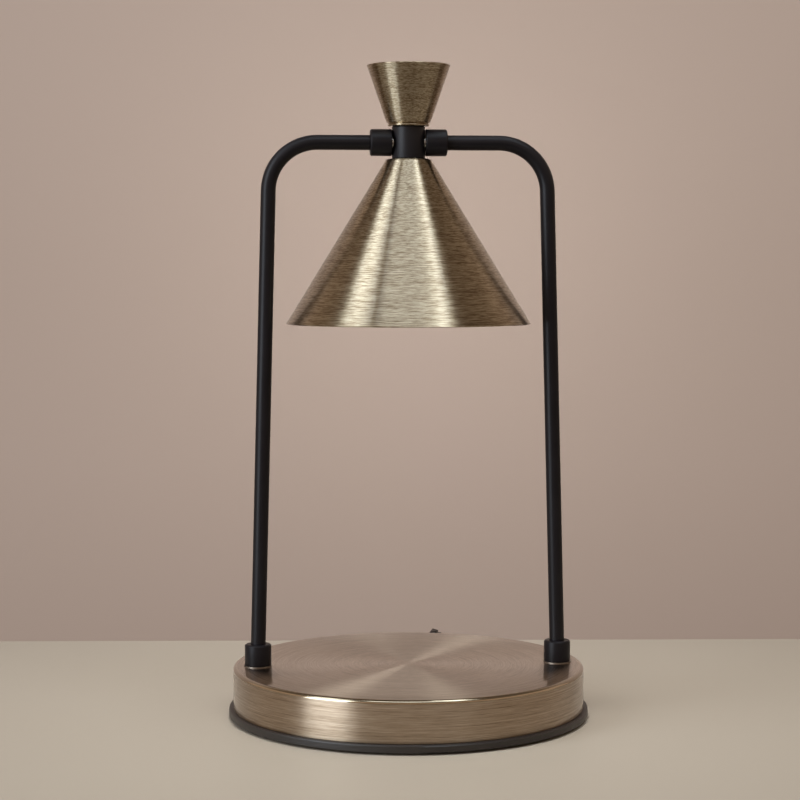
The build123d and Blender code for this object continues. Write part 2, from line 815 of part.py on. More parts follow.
def cord_relief():
    """The moulded strain relief, gripped in the cover's wall by its two flanges."""
    wall = cover_diameter / 2
    flange = relief_flange_diameter / 2
    start = relief_inner_face()
    outer = wall + face_gap
    relief = cylinder(flange, start, start + relief_flange_thickness)
    relief += cylinder(relief_neck_diameter / 2 - running_clearance, start, outer + relief_flange_thickness)
    relief += cylinder(flange, outer, outer + relief_flange_thickness)
    relief += Pos(0, 0, outer + relief_flange_thickness + relief_length / 2) * Cone(
        relief_root_diameter / 2, relief_tip_diameter / 2, relief_length)
    return radial(relief, cord_exit_angle, cord_exit_height)


def cord_exit():
    """Where the cord leaves the relief's tip."""
    reach = cover_diameter / 2 + face_gap + relief_flange_thickness + relief_length
    return polar(reach, cord_exit_angle, cord_exit_height)


def cord_tube(node, points):
    """A free stretch of cord: straight runs with tangent arcs as large as the runs allow."""
    points = [Vector(*p) for p in points]
    runs = [b - a for a, b in zip(points, points[1:])]
    turns = [math.radians(a.get_angle(b)) for a, b in zip(runs, runs[1:])]
    radii = [
        0.45 * min(a.length, b.length) / math.tan(turn / 2)
        for a, b, turn in zip(runs, runs[1:], turns)
    ]
    path = FilletPolyline(*points, radius=radii)
    tube = swept(path, cord_diameter / 2)
    section = math.pi * cord_diameter**2 / 4
    print(node, "length", round(path.length, 1), "radii", [round(r, 1) for r in radii],
          "volume over section times length", round(tube.volume / section / path.length, 4))
    return tube


def cord_lead():
    """The cord from the relief down to the table and round to the coil."""
    return cord_tube("cord_lead", [
        cord_exit(), (58.9, 102.0, 13.2), (62.6, 115.0, 9.8), (61.8, 128.4, 6.0), (55.2, 139.9, 3.7),
        (44.4, 148.0, 2.6), (31.2, 151.4, 2.9), (18.4, 150.5, bottom_layer),
    ])


def cord_coil():
    """The wound length of cord, as the solid ring that its turns fill."""
    ring = cylinder(coil_outer, coil_bottom, coil_top) - cylinder(coil_inner, coil_bottom, coil_top)
    return Pos(*coil_center, 0) * fillet(ring.edges(), cord_diameter / 4)


def plug_start():
    """Where the cord meets the plug's relief."""
    return (-34.0, 109.8, plug_cord_height)


def cord_tail():
    """The cord from the coil's top turn down to the plug."""
    leave = polar(coil_outer, coil_leave_angle, top_layer, coil_center)
    return cord_tube("cord_tail", [leave, (-16.5, 126.1, 7.8), (-24.5, 117.1, 6.9), plug_start()])


def coil_tie():
    """The strap and its head that hold the coil together."""
    inside = math.sqrt(coil_inner**2 - (tie_width / 2)**2) - seat_clearance
    middle = (inside + coil_outer + seat_clearance) / 2
    span = coil_outer + seat_clearance - inside
    top = coil_top + seat_clearance
    strap = Pos(middle, 0, (top + tie_thickness) / 2) * Box(
        span + 2 * tie_thickness, tie_width, top + tie_thickness)
    strap -= Pos(middle, 0, (top + tie_thickness) / 2) * Box(span, tie_width, top - tie_thickness)
    length, width, height = tie_head
    strap += Pos(coil_outer - length / 2, 0, top + tie_thickness + height / 2) * Box(length, width, height)
    return Pos(*coil_center, 0) * Rot(0, 0, tie_angle) * strap


def plug_shell():
    """The moulded plug body with its tapered relief."""
    length, width, height = plug_body
    relief = Pos(0, 0, plug_relief_length / 2) * Cone(
        cord_diameter / 2 + 0.6, plug_relief_diameter / 2, plug_relief_length)
    body = Pos(0, 0, plug_relief_length + length / 2) * Box(height, width, length)
    body = fillet(body.edges(), 2.0)
    for side in (-1, 1):
        body -= plug_blade(side, seat_clearance / 4)
    return aimed(relief + body, plug_start(), plug_heading)


def plug_blade(side, grow=0.0):
    """One flat blade, built along Z from inside the body, or its slot when grown."""
    height = blade_heights[(side + 1) // 2]
    root = plug_relief_length + plug_body[0] - 6.0
    z_middle = (root + plug_relief_length + plug_body[0] + blade_length) / 2
    return Pos(0, side * blade_spacing / 2, z_middle) * Box(
        height + 2 * grow, blade_thickness + 2 * grow, blade_length + 6.0)


def plug_blades():
    """The two blades, the neutral one taller."""
    return [aimed(plug_blade(side), plug_start(), plug_heading) for side in (-1, 1)]


def main():
    os.makedirs("parts", exist_ok=True)
    save("foot_pad", foot_pad())
    save("base_plate", base_plate())
    save("plate_screws", *plate_screws())
    save("plate_pillars", *plate_pillars())
    save("base_cover", base_cover())
    save("counterweight", counterweight())
    for name, side in (("left", -1), ("right", 1)):
        save(f"frame_tube_{name}", frame_tube(side))
        save(f"foot_collar_{name}", foot_collar(side))
    save("seat_washers", *[seat_washer(side) for side in (-1, 1)])
    save("leg_washers", *[leg_washer(side) for side in (-1, 1)])
    save("leg_nuts", *[leg_nut(side) for side in (-1, 1)])
    for node, build in (("arm_collar", arm_collar), ("pivot_bush", pivot_bush), ("pivot_pin", pivot_pin)):
        save(f"{node}_right", build())
        save(f"{node}_left", mirrored(build()))
    save("grub_screws", *[grub_screw(side) for side in (-1, 1)])
    save("hub", hub())
    save("nipple", nipple())
    save("finial_cone", finial_cone())
    save("finial_cap", finial_cap())
    save("shade", shade())
    save("shade_washer", shade_washer())
    save("shade_nut", shade_nut())
    save("holder_bracket", holder_bracket())
    save("lampholder", lampholder())
    save("holder_contacts", *[Rot(0, 0, turn) * contact_blank() for turn in (0, 180)])
    save("holder_screws", *holder_screws())
    save("bulb_base", bulb_base())
    save("bulb_pins", *bulb_pins())
    save("bulb_reflector", bulb_reflector())
    save("bulb_lens", bulb_lens())
    save("bulb_capsule", bulb_capsule())
    save("terminal_block", terminal_block())
    save("terminal_screws", *terminal_screws())
    save("block_screw", fixing_screw(block_top()))
    save("cord_clip", cord_clip())
    clip_top = floor_top + clip_ledge + clip_height
    save("clip_screws", *[Pos(x, y, 0) * fixing_screw(clip_top) for x, y, _ in clip_screw_places()])
    save("inner_cord", inner_cord())
    save("frame_lead", frame_lead())
    save("head_lead", head_lead())
    save("dimmer_board", dimmer_board())
    save("board_screws", *board_screws())
    save("dimmer_pot", dimmer_pot())
    save("dimmer_wheel", dimmer_wheel())
    save("cord_relief", cord_relief())
    save("cord_lead", cord_lead())
    save("cord_coil", cord_coil())
    save("coil_tie", coil_tie())
    save("cord_tail", cord_tail())
    save("plug_body", plug_shell())
    save("plug_blades", *plug_blades())


main()
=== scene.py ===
"""A candle warmer lamp in antique brass and black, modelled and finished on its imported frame."""
import logging
import math
from dataclasses import dataclass
from enum import Enum
from functools import cache
from itertools import pairwise
from typing import Callable, ClassVar, Sequence, Union

import bpy
from mathutils import Matrix, Vector


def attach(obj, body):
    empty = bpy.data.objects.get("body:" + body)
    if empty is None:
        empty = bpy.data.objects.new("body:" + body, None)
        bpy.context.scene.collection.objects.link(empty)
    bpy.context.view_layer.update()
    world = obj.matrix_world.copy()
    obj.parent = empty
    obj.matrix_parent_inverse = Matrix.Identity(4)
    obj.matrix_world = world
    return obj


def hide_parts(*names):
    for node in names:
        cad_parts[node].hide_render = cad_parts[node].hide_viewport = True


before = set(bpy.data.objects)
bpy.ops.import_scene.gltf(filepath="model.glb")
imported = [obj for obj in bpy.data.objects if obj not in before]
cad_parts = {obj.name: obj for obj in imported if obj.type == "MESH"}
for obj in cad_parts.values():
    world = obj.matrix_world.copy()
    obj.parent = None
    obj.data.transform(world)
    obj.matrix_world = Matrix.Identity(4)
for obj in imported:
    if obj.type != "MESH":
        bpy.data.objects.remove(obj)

logging.basicConfig(level=logging.INFO, format="%(message)s")
LOG = logging.getLogger("lamp")

Pair = tuple[float, float]
Point = tuple[float, float, float]
Profile = list[Pair]
Colour = tuple[float, float, float]
Operand = Union[bpy.types.NodeSocket, float]

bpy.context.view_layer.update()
MM = 0.001
# A turned piece that is closed in the middle ends on this radius, in millimetres.
TIP = 0.4


class Body(Enum):
    """The moving bodies that new pieces ride on, by their names in the frame."""

    BASE = "base"
    HEAD = "head"
    BULB = "bulb"


class Side(Enum):
    """The hoop's two sides, with the sign of their X."""

    LEFT = -1
    RIGHT = 1

    @property
    def word(self) -> str:
        """The side as the pieces' names spell it."""
        return self.name.lower()


class Slot(Enum):
    """The record's material slots that new pieces belong to."""

    ANTIQUE_BRASS = "antique_brass"
    BLACK_METAL = "black_metal"
    ZINC_STEEL = "zinc_steel"
    REFLECTOR_GLASS = "reflector_glass"
    CLEAR_GLASS = "clear_glass"
    CORD_PLASTIC = "cord_plastic"
    TIE_PLASTIC = "tie_plastic"


class Mixed(Enum):
    """What a Mix node mixes."""

    VALUES = "FLOAT"
    COLOURS = "RGBA"


# ---- Workbench: primitives shaped in edit mode, with every size in millimetres ----


class Bench:
    """The hand tools that shape every new piece."""

    @staticmethod
    def clear() -> None:
        """Leaves edit mode and deselects everything."""
        if bpy.context.object and bpy.context.object.mode != "OBJECT":
            bpy.ops.object.mode_set(mode="OBJECT")
        bpy.ops.object.select_all(action="DESELECT")

    @staticmethod
    def pick(piece: bpy.types.Object) -> None:
        """Selects one piece and makes it the active one.

        Args:
            piece: The piece to select.
        """
        Bench.clear()
        piece.select_set(True)
        bpy.context.view_layer.objects.active = piece

    @staticmethod
    def edit(piece: bpy.types.Object) -> None:
        """Opens one piece in edit mode with all of it selected.

        Args:
            piece: The piece to open.
        """
        Bench.pick(piece)
        bpy.ops.object.mode_set(mode="EDIT")
        bpy.ops.mesh.select_all(action="SELECT")

    @staticmethod
    def mend(piece: bpy.types.Object) -> None:
        """Merges doubled points and turns every face outwards.

        Args:
            piece: The piece to mend.
        """
        Bench.edit(piece)
        bpy.ops.mesh.remove_doubles(threshold=1e-6)
        bpy.ops.mesh.normals_make_consistent(inside=False)
        Bench.clear()

    @staticmethod
    def smooth(piece: bpy.types.Object, angle: float = 32.0) -> None:
        """Shades a piece smooth, apart from its sharp edges.

        Args:
            piece: The piece to shade.
            angle: The angle between faces from which an edge is sharp, in degrees.
        """
        Bench.pick(piece)
        bpy.ops.object.shade_smooth_by_angle(angle=math.radians(angle))
        Bench.clear()

    @staticmethod
    def apply_modifier(piece: bpy.types.Object, kind: str, **settings: object) -> None:
        """Adds a modifier with these settings and applies it.

        Args:
            piece: The piece to change.
            kind: The modifier's type, such as BEVEL.
            settings: The modifier's settings by name.
        """
        Bench.pick(piece)
        modifier = piece.modifiers.new(kind.title(), kind)
        for name, value in settings.items():
            setattr(modifier, name, value)
        bpy.ops.object.modifier_apply(modifier=modifier.name)
        Bench.clear()

    @staticmethod
    def bevel(piece: bpy.types.Object, width: float, segments: int, angle: float) -> None:
        """Rounds every edge that is sharper than an angle.

        Args:
            piece: The piece to round.
            width: The rounding's width.
            segments: How many faces the rounding has.
            angle: The least angle of an edge that is rounded, in degrees.
        """
        Bench.apply_modifier(
            piece, "BEVEL", width=width * MM, segments=segments, limit_method="ANGLE",
            angle_limit=math.radians(angle), harden_normals=False)

    @staticmethod
    def soften(piece: bpy.types.Object, width: float, segments: int = 3, angle: float = 32.0) -> None:
        """Rounds the edges of a piece and shades it smooth."""
        Bench.bevel(piece, width, segments, angle)
        Bench.smooth(piece)

    @staticmethod
    def cut(piece: bpy.types.Object, cutter: bpy.types.Object) -> None:
        """Cuts one piece with another and throws the cutter away."""
        Bench.apply_modifier(piece, "BOOLEAN", operation="DIFFERENCE", object=cutter, solver="EXACT")
        bpy.data.objects.remove(cutter)

    @staticmethod
    def name_new(name: str) -> bpy.types.Object:
        """Names the primitive that was just added.

        Args:
            name: The name that it and its mesh take.

        Returns:
            The piece.
        """
        piece = bpy.context.object
        piece.name = name
        piece.data.name = name
        return piece

    @staticmethod
    def settle(piece: bpy.types.Object) -> None:
        """Puts a piece's place, turn and scale in its mesh.

        Args:
            piece: The piece to settle.
        """
        Bench.pick(piece)
        bpy.ops.object.transform_apply(location=True, rotation=True, scale=True)
        Bench.clear()

    @staticmethod
    def place(piece: bpy.types.Object, matrix: Matrix) -> None:
        """Moves and turns a piece, with its place in its mesh."""
        piece.matrix_world = matrix @ piece.matrix_world
        Bench.settle(piece)

    @staticmethod
    def join(name: str, pieces: Sequence[bpy.types.Object]) -> bpy.types.Object:
        """Joins pieces into one that takes the first one's place.

        Args:
            name: The joined piece's name.
            pieces: The pieces to join.

        Returns:
            The joined piece.
        """
        Bench.clear()
        for piece in pieces:
            piece.select_set(True)
        bpy.context.view_layer.objects.active = pieces[0]
        bpy.ops.object.join()
        joined = Bench.name_new(name)
        Bench.clear()
        return joined

    @staticmethod
    def pair(name: str, piece: bpy.types.Object) -> dict[Side, bpy.types.Object]:
        """Copies a piece, so that there is one for each side of the lamp.

        Args:
            name: The name that both take, before the word for their side.
            piece: The piece, which becomes the left one.

        Returns:
            The piece and its copy with a mesh of its own, by their sides.
        """
        sides = {Side.LEFT: piece}
        Bench.pick(piece)
        bpy.ops.object.duplicate(linked=False)
        sides[Side.RIGHT] = bpy.context.object
        for side, one in sides.items():
            one.name = f"{name}_{side.word}"
            one.data.name = one.name
        Bench.clear()
        return sides

    @staticmethod
    def pull(offset: Sequence[float]) -> None:
        """Extrudes what is selected by an offset in metres."""
        bpy.ops.mesh.extrude_region_move(TRANSFORM_OT_translate={"value": offset})

    @staticmethod
    def turned(name: str, profile: Profile, segments: int = 192, ring: bool = False) -> bpy.types.Object:
        """Turns a piece round Z: a circle is extruded and sized step by step along a profile.

        Args:
            name: The piece's name.
            profile: Radii and heights, from one end to the other.
            segments: How many faces go round.
            ring: True joins the last step to the first, otherwise both ends are closed flat.

        Returns:
            The closed piece.
        """
        steps = [(radius * MM, height * MM) for radius, height in profile]
        if ring:
            steps.append(steps[0])
        radius, height = steps[0]
        Bench.clear()
        bpy.ops.mesh.primitive_circle_add(vertices=segments, radius=radius, location=(0, 0, height))
        piece = Bench.name_new(name)
        Bench.edit(piece)
        for (old_radius, old_height), (new_radius, new_height) in pairwise(steps):
            Bench.pull((0, 0, new_height - old_height))
            if not math.isclose(new_radius, old_radius):
                ratio = new_radius / old_radius
                bpy.ops.transform.resize(value=(ratio, ratio, 1), center_override=(0, 0, new_height))
        if not ring:
            bpy.ops.mesh.select_all(action="SELECT")
            bpy.ops.mesh.fill_holes(sides=0)
        Bench.settle(piece)
        Bench.mend(piece)
        return piece

    @staticmethod
    def drawn(name: str, sections: Sequence[Point]) -> bpy.types.Object:
        """Draws a four-sided piece up Z: a foot face is extruded and sized to each next section.

        Args:
            name: The piece's name.
            sections: Width, depth and height of each section, from the foot up.

        Returns:
            The closed piece.
        """
        Bench.clear()
        wide, deep, low = sections[0]
        bpy.ops.mesh.primitive_plane_add(size=MM, location=(0, 0, low * MM))
        piece = Bench.name_new(name)
        Bench.settle(piece)
        Bench.edit(piece)
        bpy.ops.transform.resize(value=(wide, deep, 1), center_override=(0, 0, low * MM))
        for (old_wide, old_deep, old_high), (new_wide, new_deep, new_high) in pairwise(sections):
            Bench.pull((0, 0, (new_high - old_high) * MM))
            bpy.ops.transform.resize(
                value=(new_wide / old_wide, new_deep / old_deep, 1), center_override=(0, 0, new_high * MM))
        Bench.mend(piece)
        return piece

    @staticmethod
    def block(name: str, size: Point, center: Point = (0, 0, 0)) -> bpy.types.Object:
        """Adds a box.

        Args:
            name: The piece's name.
            size: Its width, depth and height.
            center: Its middle.

        Returns:
            The box.
        """
        Bench.clear()
        bpy.ops.mesh.primitive_cube_add(size=MM, location=[value * MM for value in center], scale=size)
        piece = Bench.name_new(name)
        Bench.settle(piece)
        return piece

    @staticmethod
    def bar(name: str, radius: float, length: float, segments: int = 48) -> bpy.types.Object:
        """Adds a cylinder that stands on the origin.

        Args:
            name: The piece's name.
            radius: Its radius.
            length: Its length.
            segments: How many faces go round.

        Returns:
            The cylinder.
        """
        Bench.clear()
        bpy.ops.mesh.primitive_cylinder_add(
            vertices=segments, radius=radius * MM, depth=length * MM, location=(0, 0, length * MM / 2))
        piece = Bench.name_new(name)
        Bench.settle(piece)
        return piece


def moved(x: float, y: float, z: float) -> Matrix:
    """A move in millimetres."""
    return Matrix.Translation((x * MM, y * MM, z * MM))


def rotated(angle: float, axis: str) -> Matrix:
    """A turn in degrees about X, Y or Z."""
    return Matrix.Rotation(math.radians(angle), 4, axis)


def outward(angle: float, reach: float, height: float) -> Matrix:
    """A place round the middle of the base where a piece's Z points away from it."""
    return rotated(angle, "Z") @ moved(reach, 0, height) @ rotated(90, "Y")


def arc(center: Pair, radius: float, start: float, end: float, steps: int) -> Profile:
    """Points of an arc in a profile, from one angle in degrees to another."""
    angles = [math.radians(start + (end - start) * step / steps) for step in range(steps + 1)]
    return [(center[0] + radius * math.cos(a), center[1] + radius * math.sin(a)) for a in angles]


# ---- Shader graphs ----


class Graph:
    """A node tree with short ways to add and link its nodes."""

    def __init__(self, tree: bpy.types.NodeTree) -> None:
        """Wraps a tree."""
        self.tree = tree

    def add(self, kind: str, **settings: object) -> bpy.types.Node:
        """Adds a node.

        Args:
            kind: The node's type.
            settings: Its properties by name.

        Returns:
            The node.
        """
        node = self.tree.nodes.new(kind)
        for name, value in settings.items():
            setattr(node, name, value)
        return node

    def link(self, source: bpy.types.NodeSocket, target: bpy.types.NodeSocket) -> None:
        """Links two sockets."""
        self.tree.links.new(source, target)

    def feed(self, value: Operand, target: bpy.types.NodeSocket) -> None:
        """Links a socket to an input, or sets the input to a number.

        Args:
            value: A socket or a number.
            target: The input that takes it.
        """
        if isinstance(value, bpy.types.NodeSocket):
            self.link(value, target)
        else:
            target.default_value = value

    def calc(self, operation: str, *operands: Operand) -> bpy.types.NodeSocket:
        """Adds a Math node.

        Args:
            operation: The node's operation.
            operands: A socket or a number for each input that the operation takes.

        Returns:
            The node's output.
        """
        node = self.add("ShaderNodeMath", operation=operation)
        for value, target in zip(operands, node.inputs):
            self.feed(value, target)
        return node.outputs[0]

    def mix(self, kind: Mixed, *operands: bpy.types.NodeSocket) -> bpy.types.NodeSocket:
        """Adds a Mix node.

        Args:
            kind: What it mixes.
            operands: The factor and the two that are mixed.

        Returns:
            The node's output.
        """
        node = self.add("ShaderNodeMix", data_type=kind.value)
        for source, target in zip(operands, [socket for socket in node.inputs if socket.enabled]):
            self.link(source, target)
        return next(socket for socket in node.outputs if socket.enabled)

    def noise(
        self, place: bpy.types.NodeSocket, scale: Operand, detail: float, **settings: object,
    ) -> bpy.types.Node:
        """Adds a Noise Texture node.

        Args:
            place: The coordinates that it reads.
            scale: Its scale.
            detail: Its detail.
            settings: Its properties by name.

        Returns:
            The node.
        """
        node = self.add("ShaderNodeTexNoise", **settings)
        self.link(place, node.inputs["Vector"])
        self.feed(scale, node.inputs["Scale"])
        node.inputs["Detail"].default_value = detail
        return node


def socket_value(value: Union[Colour, float]) -> Union[tuple[float, ...], float]:
    """A colour with its alpha, or a number as it is."""
    return (*value, 1.0) if isinstance(value, tuple) else value


def surface_group(
    name: str, inputs: dict[str, Union[Colour, float]],
    fill: Callable[[Graph, bpy.types.Node, bpy.types.Node], None],
) -> bpy.types.NodeTree:
    """Makes a shared shader group that puts out a surface's colour, roughness and height.

    Args:
        name: The group's name.
        inputs: Input names with their defaults, three numbers for a colour.
        fill: Builds the inside from the graph and its input and output nodes.

    Returns:
        The group.
    """
    tree = bpy.data.node_groups.new(name, "ShaderNodeTree")
    for label, value in inputs.items():
        kind = "NodeSocketColor" if isinstance(value, tuple) else "NodeSocketFloat"
        socket = tree.interface.new_socket(label, in_out="INPUT", socket_type=kind)
        socket.default_value = socket_value(value)
    tree.interface.new_socket("Color", in_out="OUTPUT", socket_type="NodeSocketColor")
    tree.interface.new_socket("Roughness", in_out="OUTPUT", socket_type="NodeSocketFloat")
    tree.interface.new_socket("Height", in_out="OUTPUT", socket_type="NodeSocketFloat")
    graph = Graph(tree)
    fill(graph, graph.add("NodeGroupInput"), graph.add("NodeGroupOutput"))
    return tree


def brushed_layer(
    graph: Graph, section: Sequence[bpy.types.NodeSocket], around: bpy.types.NodeSocket, turns: float,
) -> bpy.types.NodeSocket:
    """Adds one layer of brushed lines: a noise that is fine across them and slow along them.

    Args:
        graph: The group's graph.
        section: The radius and the height, both times the lines in a metre.
        around: The angle round Z.
        turns: How quickly the noise changes along the lines.

    Returns:
        The noise.
    """
    place = graph.add("ShaderNodeCombineXYZ")
    along = graph.calc("MULTIPLY", graph.calc("COSINE", around), turns)
    for source, target in zip((*section, along), place.inputs):
        graph.link(source, target)
    noise = graph.noise(place.outputs[0], scale=1.0, detail=3.0, noise_dimensions="4D")
    noise.inputs["Roughness"].default_value = 0.65
    graph.link(graph.calc("MULTIPLY", graph.calc("SINE", around), turns), noise.inputs["W"])
    return noise.outputs["Fac"]


def fill_turned_grain(graph: Graph, given: bpy.types.Node, put: bpy.types.Node) -> None:
    """Fine lines that run round Z, as a lathe and a brush leave them, and a slow patina.

    Args:
        graph: The group's graph.
        given: Its input node.
        put: Its output node.
    """
    place = graph.add("ShaderNodeTexCoord").outputs["Object"]
    axes = graph.add("ShaderNodeSeparateXYZ")
    graph.link(place, axes.inputs[0])
    x, y, z = axes.outputs
    squares = graph.calc("ADD", graph.calc("POWER", x, 2.0), graph.calc("POWER", y, 2.0))
    across = graph.calc("POWER", squares, 0.5)
    around = graph.calc("ARCTAN2", y, x)
    section = [graph.calc("MULTIPLY", value, given.outputs["Lines"]) for value in (across, z)]
    long_lines = brushed_layer(graph, section, around, turns=1.2)
    short_dashes = brushed_layer(graph, section, around, turns=9.0)
    grain = graph.mix(Mixed.VALUES, given.outputs["Dashes"], long_lines, short_dashes)
    line = graph.calc("MULTIPLY", graph.calc("SUBTRACT", grain, 0.5), given.outputs["Contrast"])
    lightness = graph.calc("ADD", line, 0.5)
    shade = graph.mix(Mixed.COLOURS, lightness, given.outputs["Dark"], given.outputs["Light"])
    patina = graph.noise(place, scale=34.0, detail=4.0).outputs["Fac"]
    stained = graph.calc("MULTIPLY", patina, given.outputs["Patina"])
    graph.link(graph.mix(Mixed.COLOURS, stained, shade, given.outputs["Stain"]), put.inputs["Color"])
    rough = graph.calc("MULTIPLY_ADD", grain, given.outputs["Spread"], given.outputs["Roughness"])
    graph.link(rough, put.inputs["Roughness"])
    graph.link(grain, put.inputs["Height"])


def fill_fine_texture(graph: Graph, given: bpy.types.Node, put: bpy.types.Node) -> None:
    """A fine even texture, as powder coat, moulded plastic or a casting has.

    Args:
        graph: The group's graph.
        given: Its input node.
        put: Its output node.
    """
    place = graph.add("ShaderNodeTexCoord").outputs["Object"]
    slow = graph.noise(place, scale=60.0, detail=3.0).outputs["Fac"]
    fine = graph.noise(place, scale=given.outputs["Grain"], detail=2.0).outputs["Fac"]
    shade = graph.mix(Mixed.COLOURS, slow, given.outputs["Dark"], given.outputs["Light"])
    rough = graph.calc("MULTIPLY_ADD", slow, given.outputs["Spread"], given.outputs["Roughness"])
    graph.link(shade, put.inputs["Color"])
    graph.link(rough, put.inputs["Roughness"])
    graph.link(fine, put.inputs["Height"])


TURNED_GRAIN = surface_group(
    "turned_grain",
    {
        "Dark": (0.2, 0.14, 0.08), "Light": (0.5, 0.37, 0.2), "Stain": (0.1, 0.07, 0.05),
        "Lines": 2600.0, "Dashes": 0.5, "Contrast": 2.2, "Patina": 0.3, "Roughness": 0.3, "Spread": 0.1,
    },
    fill_turned_grain)
FINE_TEXTURE = surface_group(
    "fine_texture",
    {
        "Dark": (0.02, 0.02, 0.02), "Light": (0.04, 0.04, 0.04),
        "Grain": 2500.0, "Roughness": 0.4, "Spread": 0.1,
    },
    fill_fine_texture)


# ---- Finishes ----


def new_material(name: str) -> tuple[bpy.types.Material, Graph, bpy.types.Node]:
    """Makes an empty material.

    Args:
        name: Its name.

    Returns:
        The material, its graph and its Principled shader.
    """
    material = bpy.data.materials.new(name)
    material.use_nodes = True
    return material, Graph(material.node_tree), material.node_tree.nodes["Principled BSDF"]


@dataclass(frozen=True)
class Textured:
    """What every textured finish has. A group's inputs take the finish's fields of the same names."""

    name: str
    dark: Colour
    light: Colour
    roughness: float = 0.4
    spread: float = 0.1
    bump: float = 0.1
    bump_depth: ClassVar[float] = 0.05 * MM

    def lay(self, group: bpy.types.NodeTree) -> tuple[bpy.types.Material, Graph, bpy.types.Node]:
        """Makes the material and links a surface group to its shader.

        Args:
            group: The shared group.

        Returns:
            The material, its graph and its Principled shader.
        """
        material, graph, shader = new_material(self.name)
        surface = graph.add("ShaderNodeGroup", node_tree=group)
        for socket in surface.inputs:
            socket.default_value = socket_value(getattr(self, socket.name.lower()))
        relief = graph.add("ShaderNodeBump")
        relief.inputs["Strength"].default_value = self.bump
        relief.inputs["Distance"].default_value = self.bump_depth
        graph.link(surface.outputs["Color"], shader.inputs["Base Color"])
        graph.link(surface.outputs["Roughness"], shader.inputs["Roughness"])
        graph.link(surface.outputs["Height"], relief.inputs["Height"])
        graph.link(relief.outputs["Normal"], shader.inputs["Normal"])
        return material, graph, shader


@dataclass(frozen=True)
class BrushedMetal(Textured):
    """A lacquered metal that is turned and brushed round its own axis."""

    dark: Colour = (0.235, 0.175, 0.105)
    light: Colour = (0.58, 0.50, 0.356)
    roughness: float = 0.24
    bump: float = 0.045
    stain: Colour = (0.20, 0.125, 0.07)
    lines: float = 3000.0
    dashes: float = 0.7
    contrast: float = 8.0
    patina: float = 0.2
    anisotropy: float = 0.93
    lacquer: float = 0.35
    lacquer_roughness: ClassVar[float] = 0.07
    brush_turn: ClassVar[float] = 0.25

    def make(self) -> bpy.types.Material:
        """Makes the material.

        Returns:
            The material.
        """
        material, graph, shader = self.lay(TURNED_GRAIN)
        shader.inputs["Metallic"].default_value = 1.0
        shader.inputs["Anisotropic"].default_value = self.anisotropy
        shader.inputs["Anisotropic Rotation"].default_value = self.brush_turn
        shader.inputs["Coat Weight"].default_value = self.lacquer
        shader.inputs["Coat Roughness"].default_value = self.lacquer_roughness
        tangent = graph.add("ShaderNodeTangent", direction_type="RADIAL", axis="Z")
        graph.link(tangent.outputs[0], shader.inputs["Tangent"])
        return material


@dataclass(frozen=True)
class Coated(Textured):
    """A coat, plastic, rubber, ceramic or plain metal with a fine even texture."""

    grain: float = 2500.0
    metallic: float = 0.0
    shine: float = 0.5

    def make(self) -> bpy.types.Material:
        """Makes the material.

        Returns:
            The material.
        """
        material, _, shader = self.lay(FINE_TEXTURE)
        shader.inputs["Metallic"].default_value = self.metallic
        shader.inputs["Specular IOR Level"].default_value = self.shine
        return material


@dataclass(frozen=True)
class ClearGlass:
    """Clear glass of the bulb's lens and burner."""

    name: str
    tint: Colour
    roughness: float = 0.02
    refraction: float = 1.45

    def make(self) -> bpy.types.Material:
        """Makes the material.

        Returns:
            The material.
        """
        material, _, shader = new_material(self.name)
        shader.inputs["Base Color"].default_value = socket_value(self.tint)
        shader.inputs["Roughness"].default_value = self.roughness
        shader.inputs["Transmission Weight"].default_value = 1.0
        shader.inputs["IOR"].default_value = self.refraction
        return material


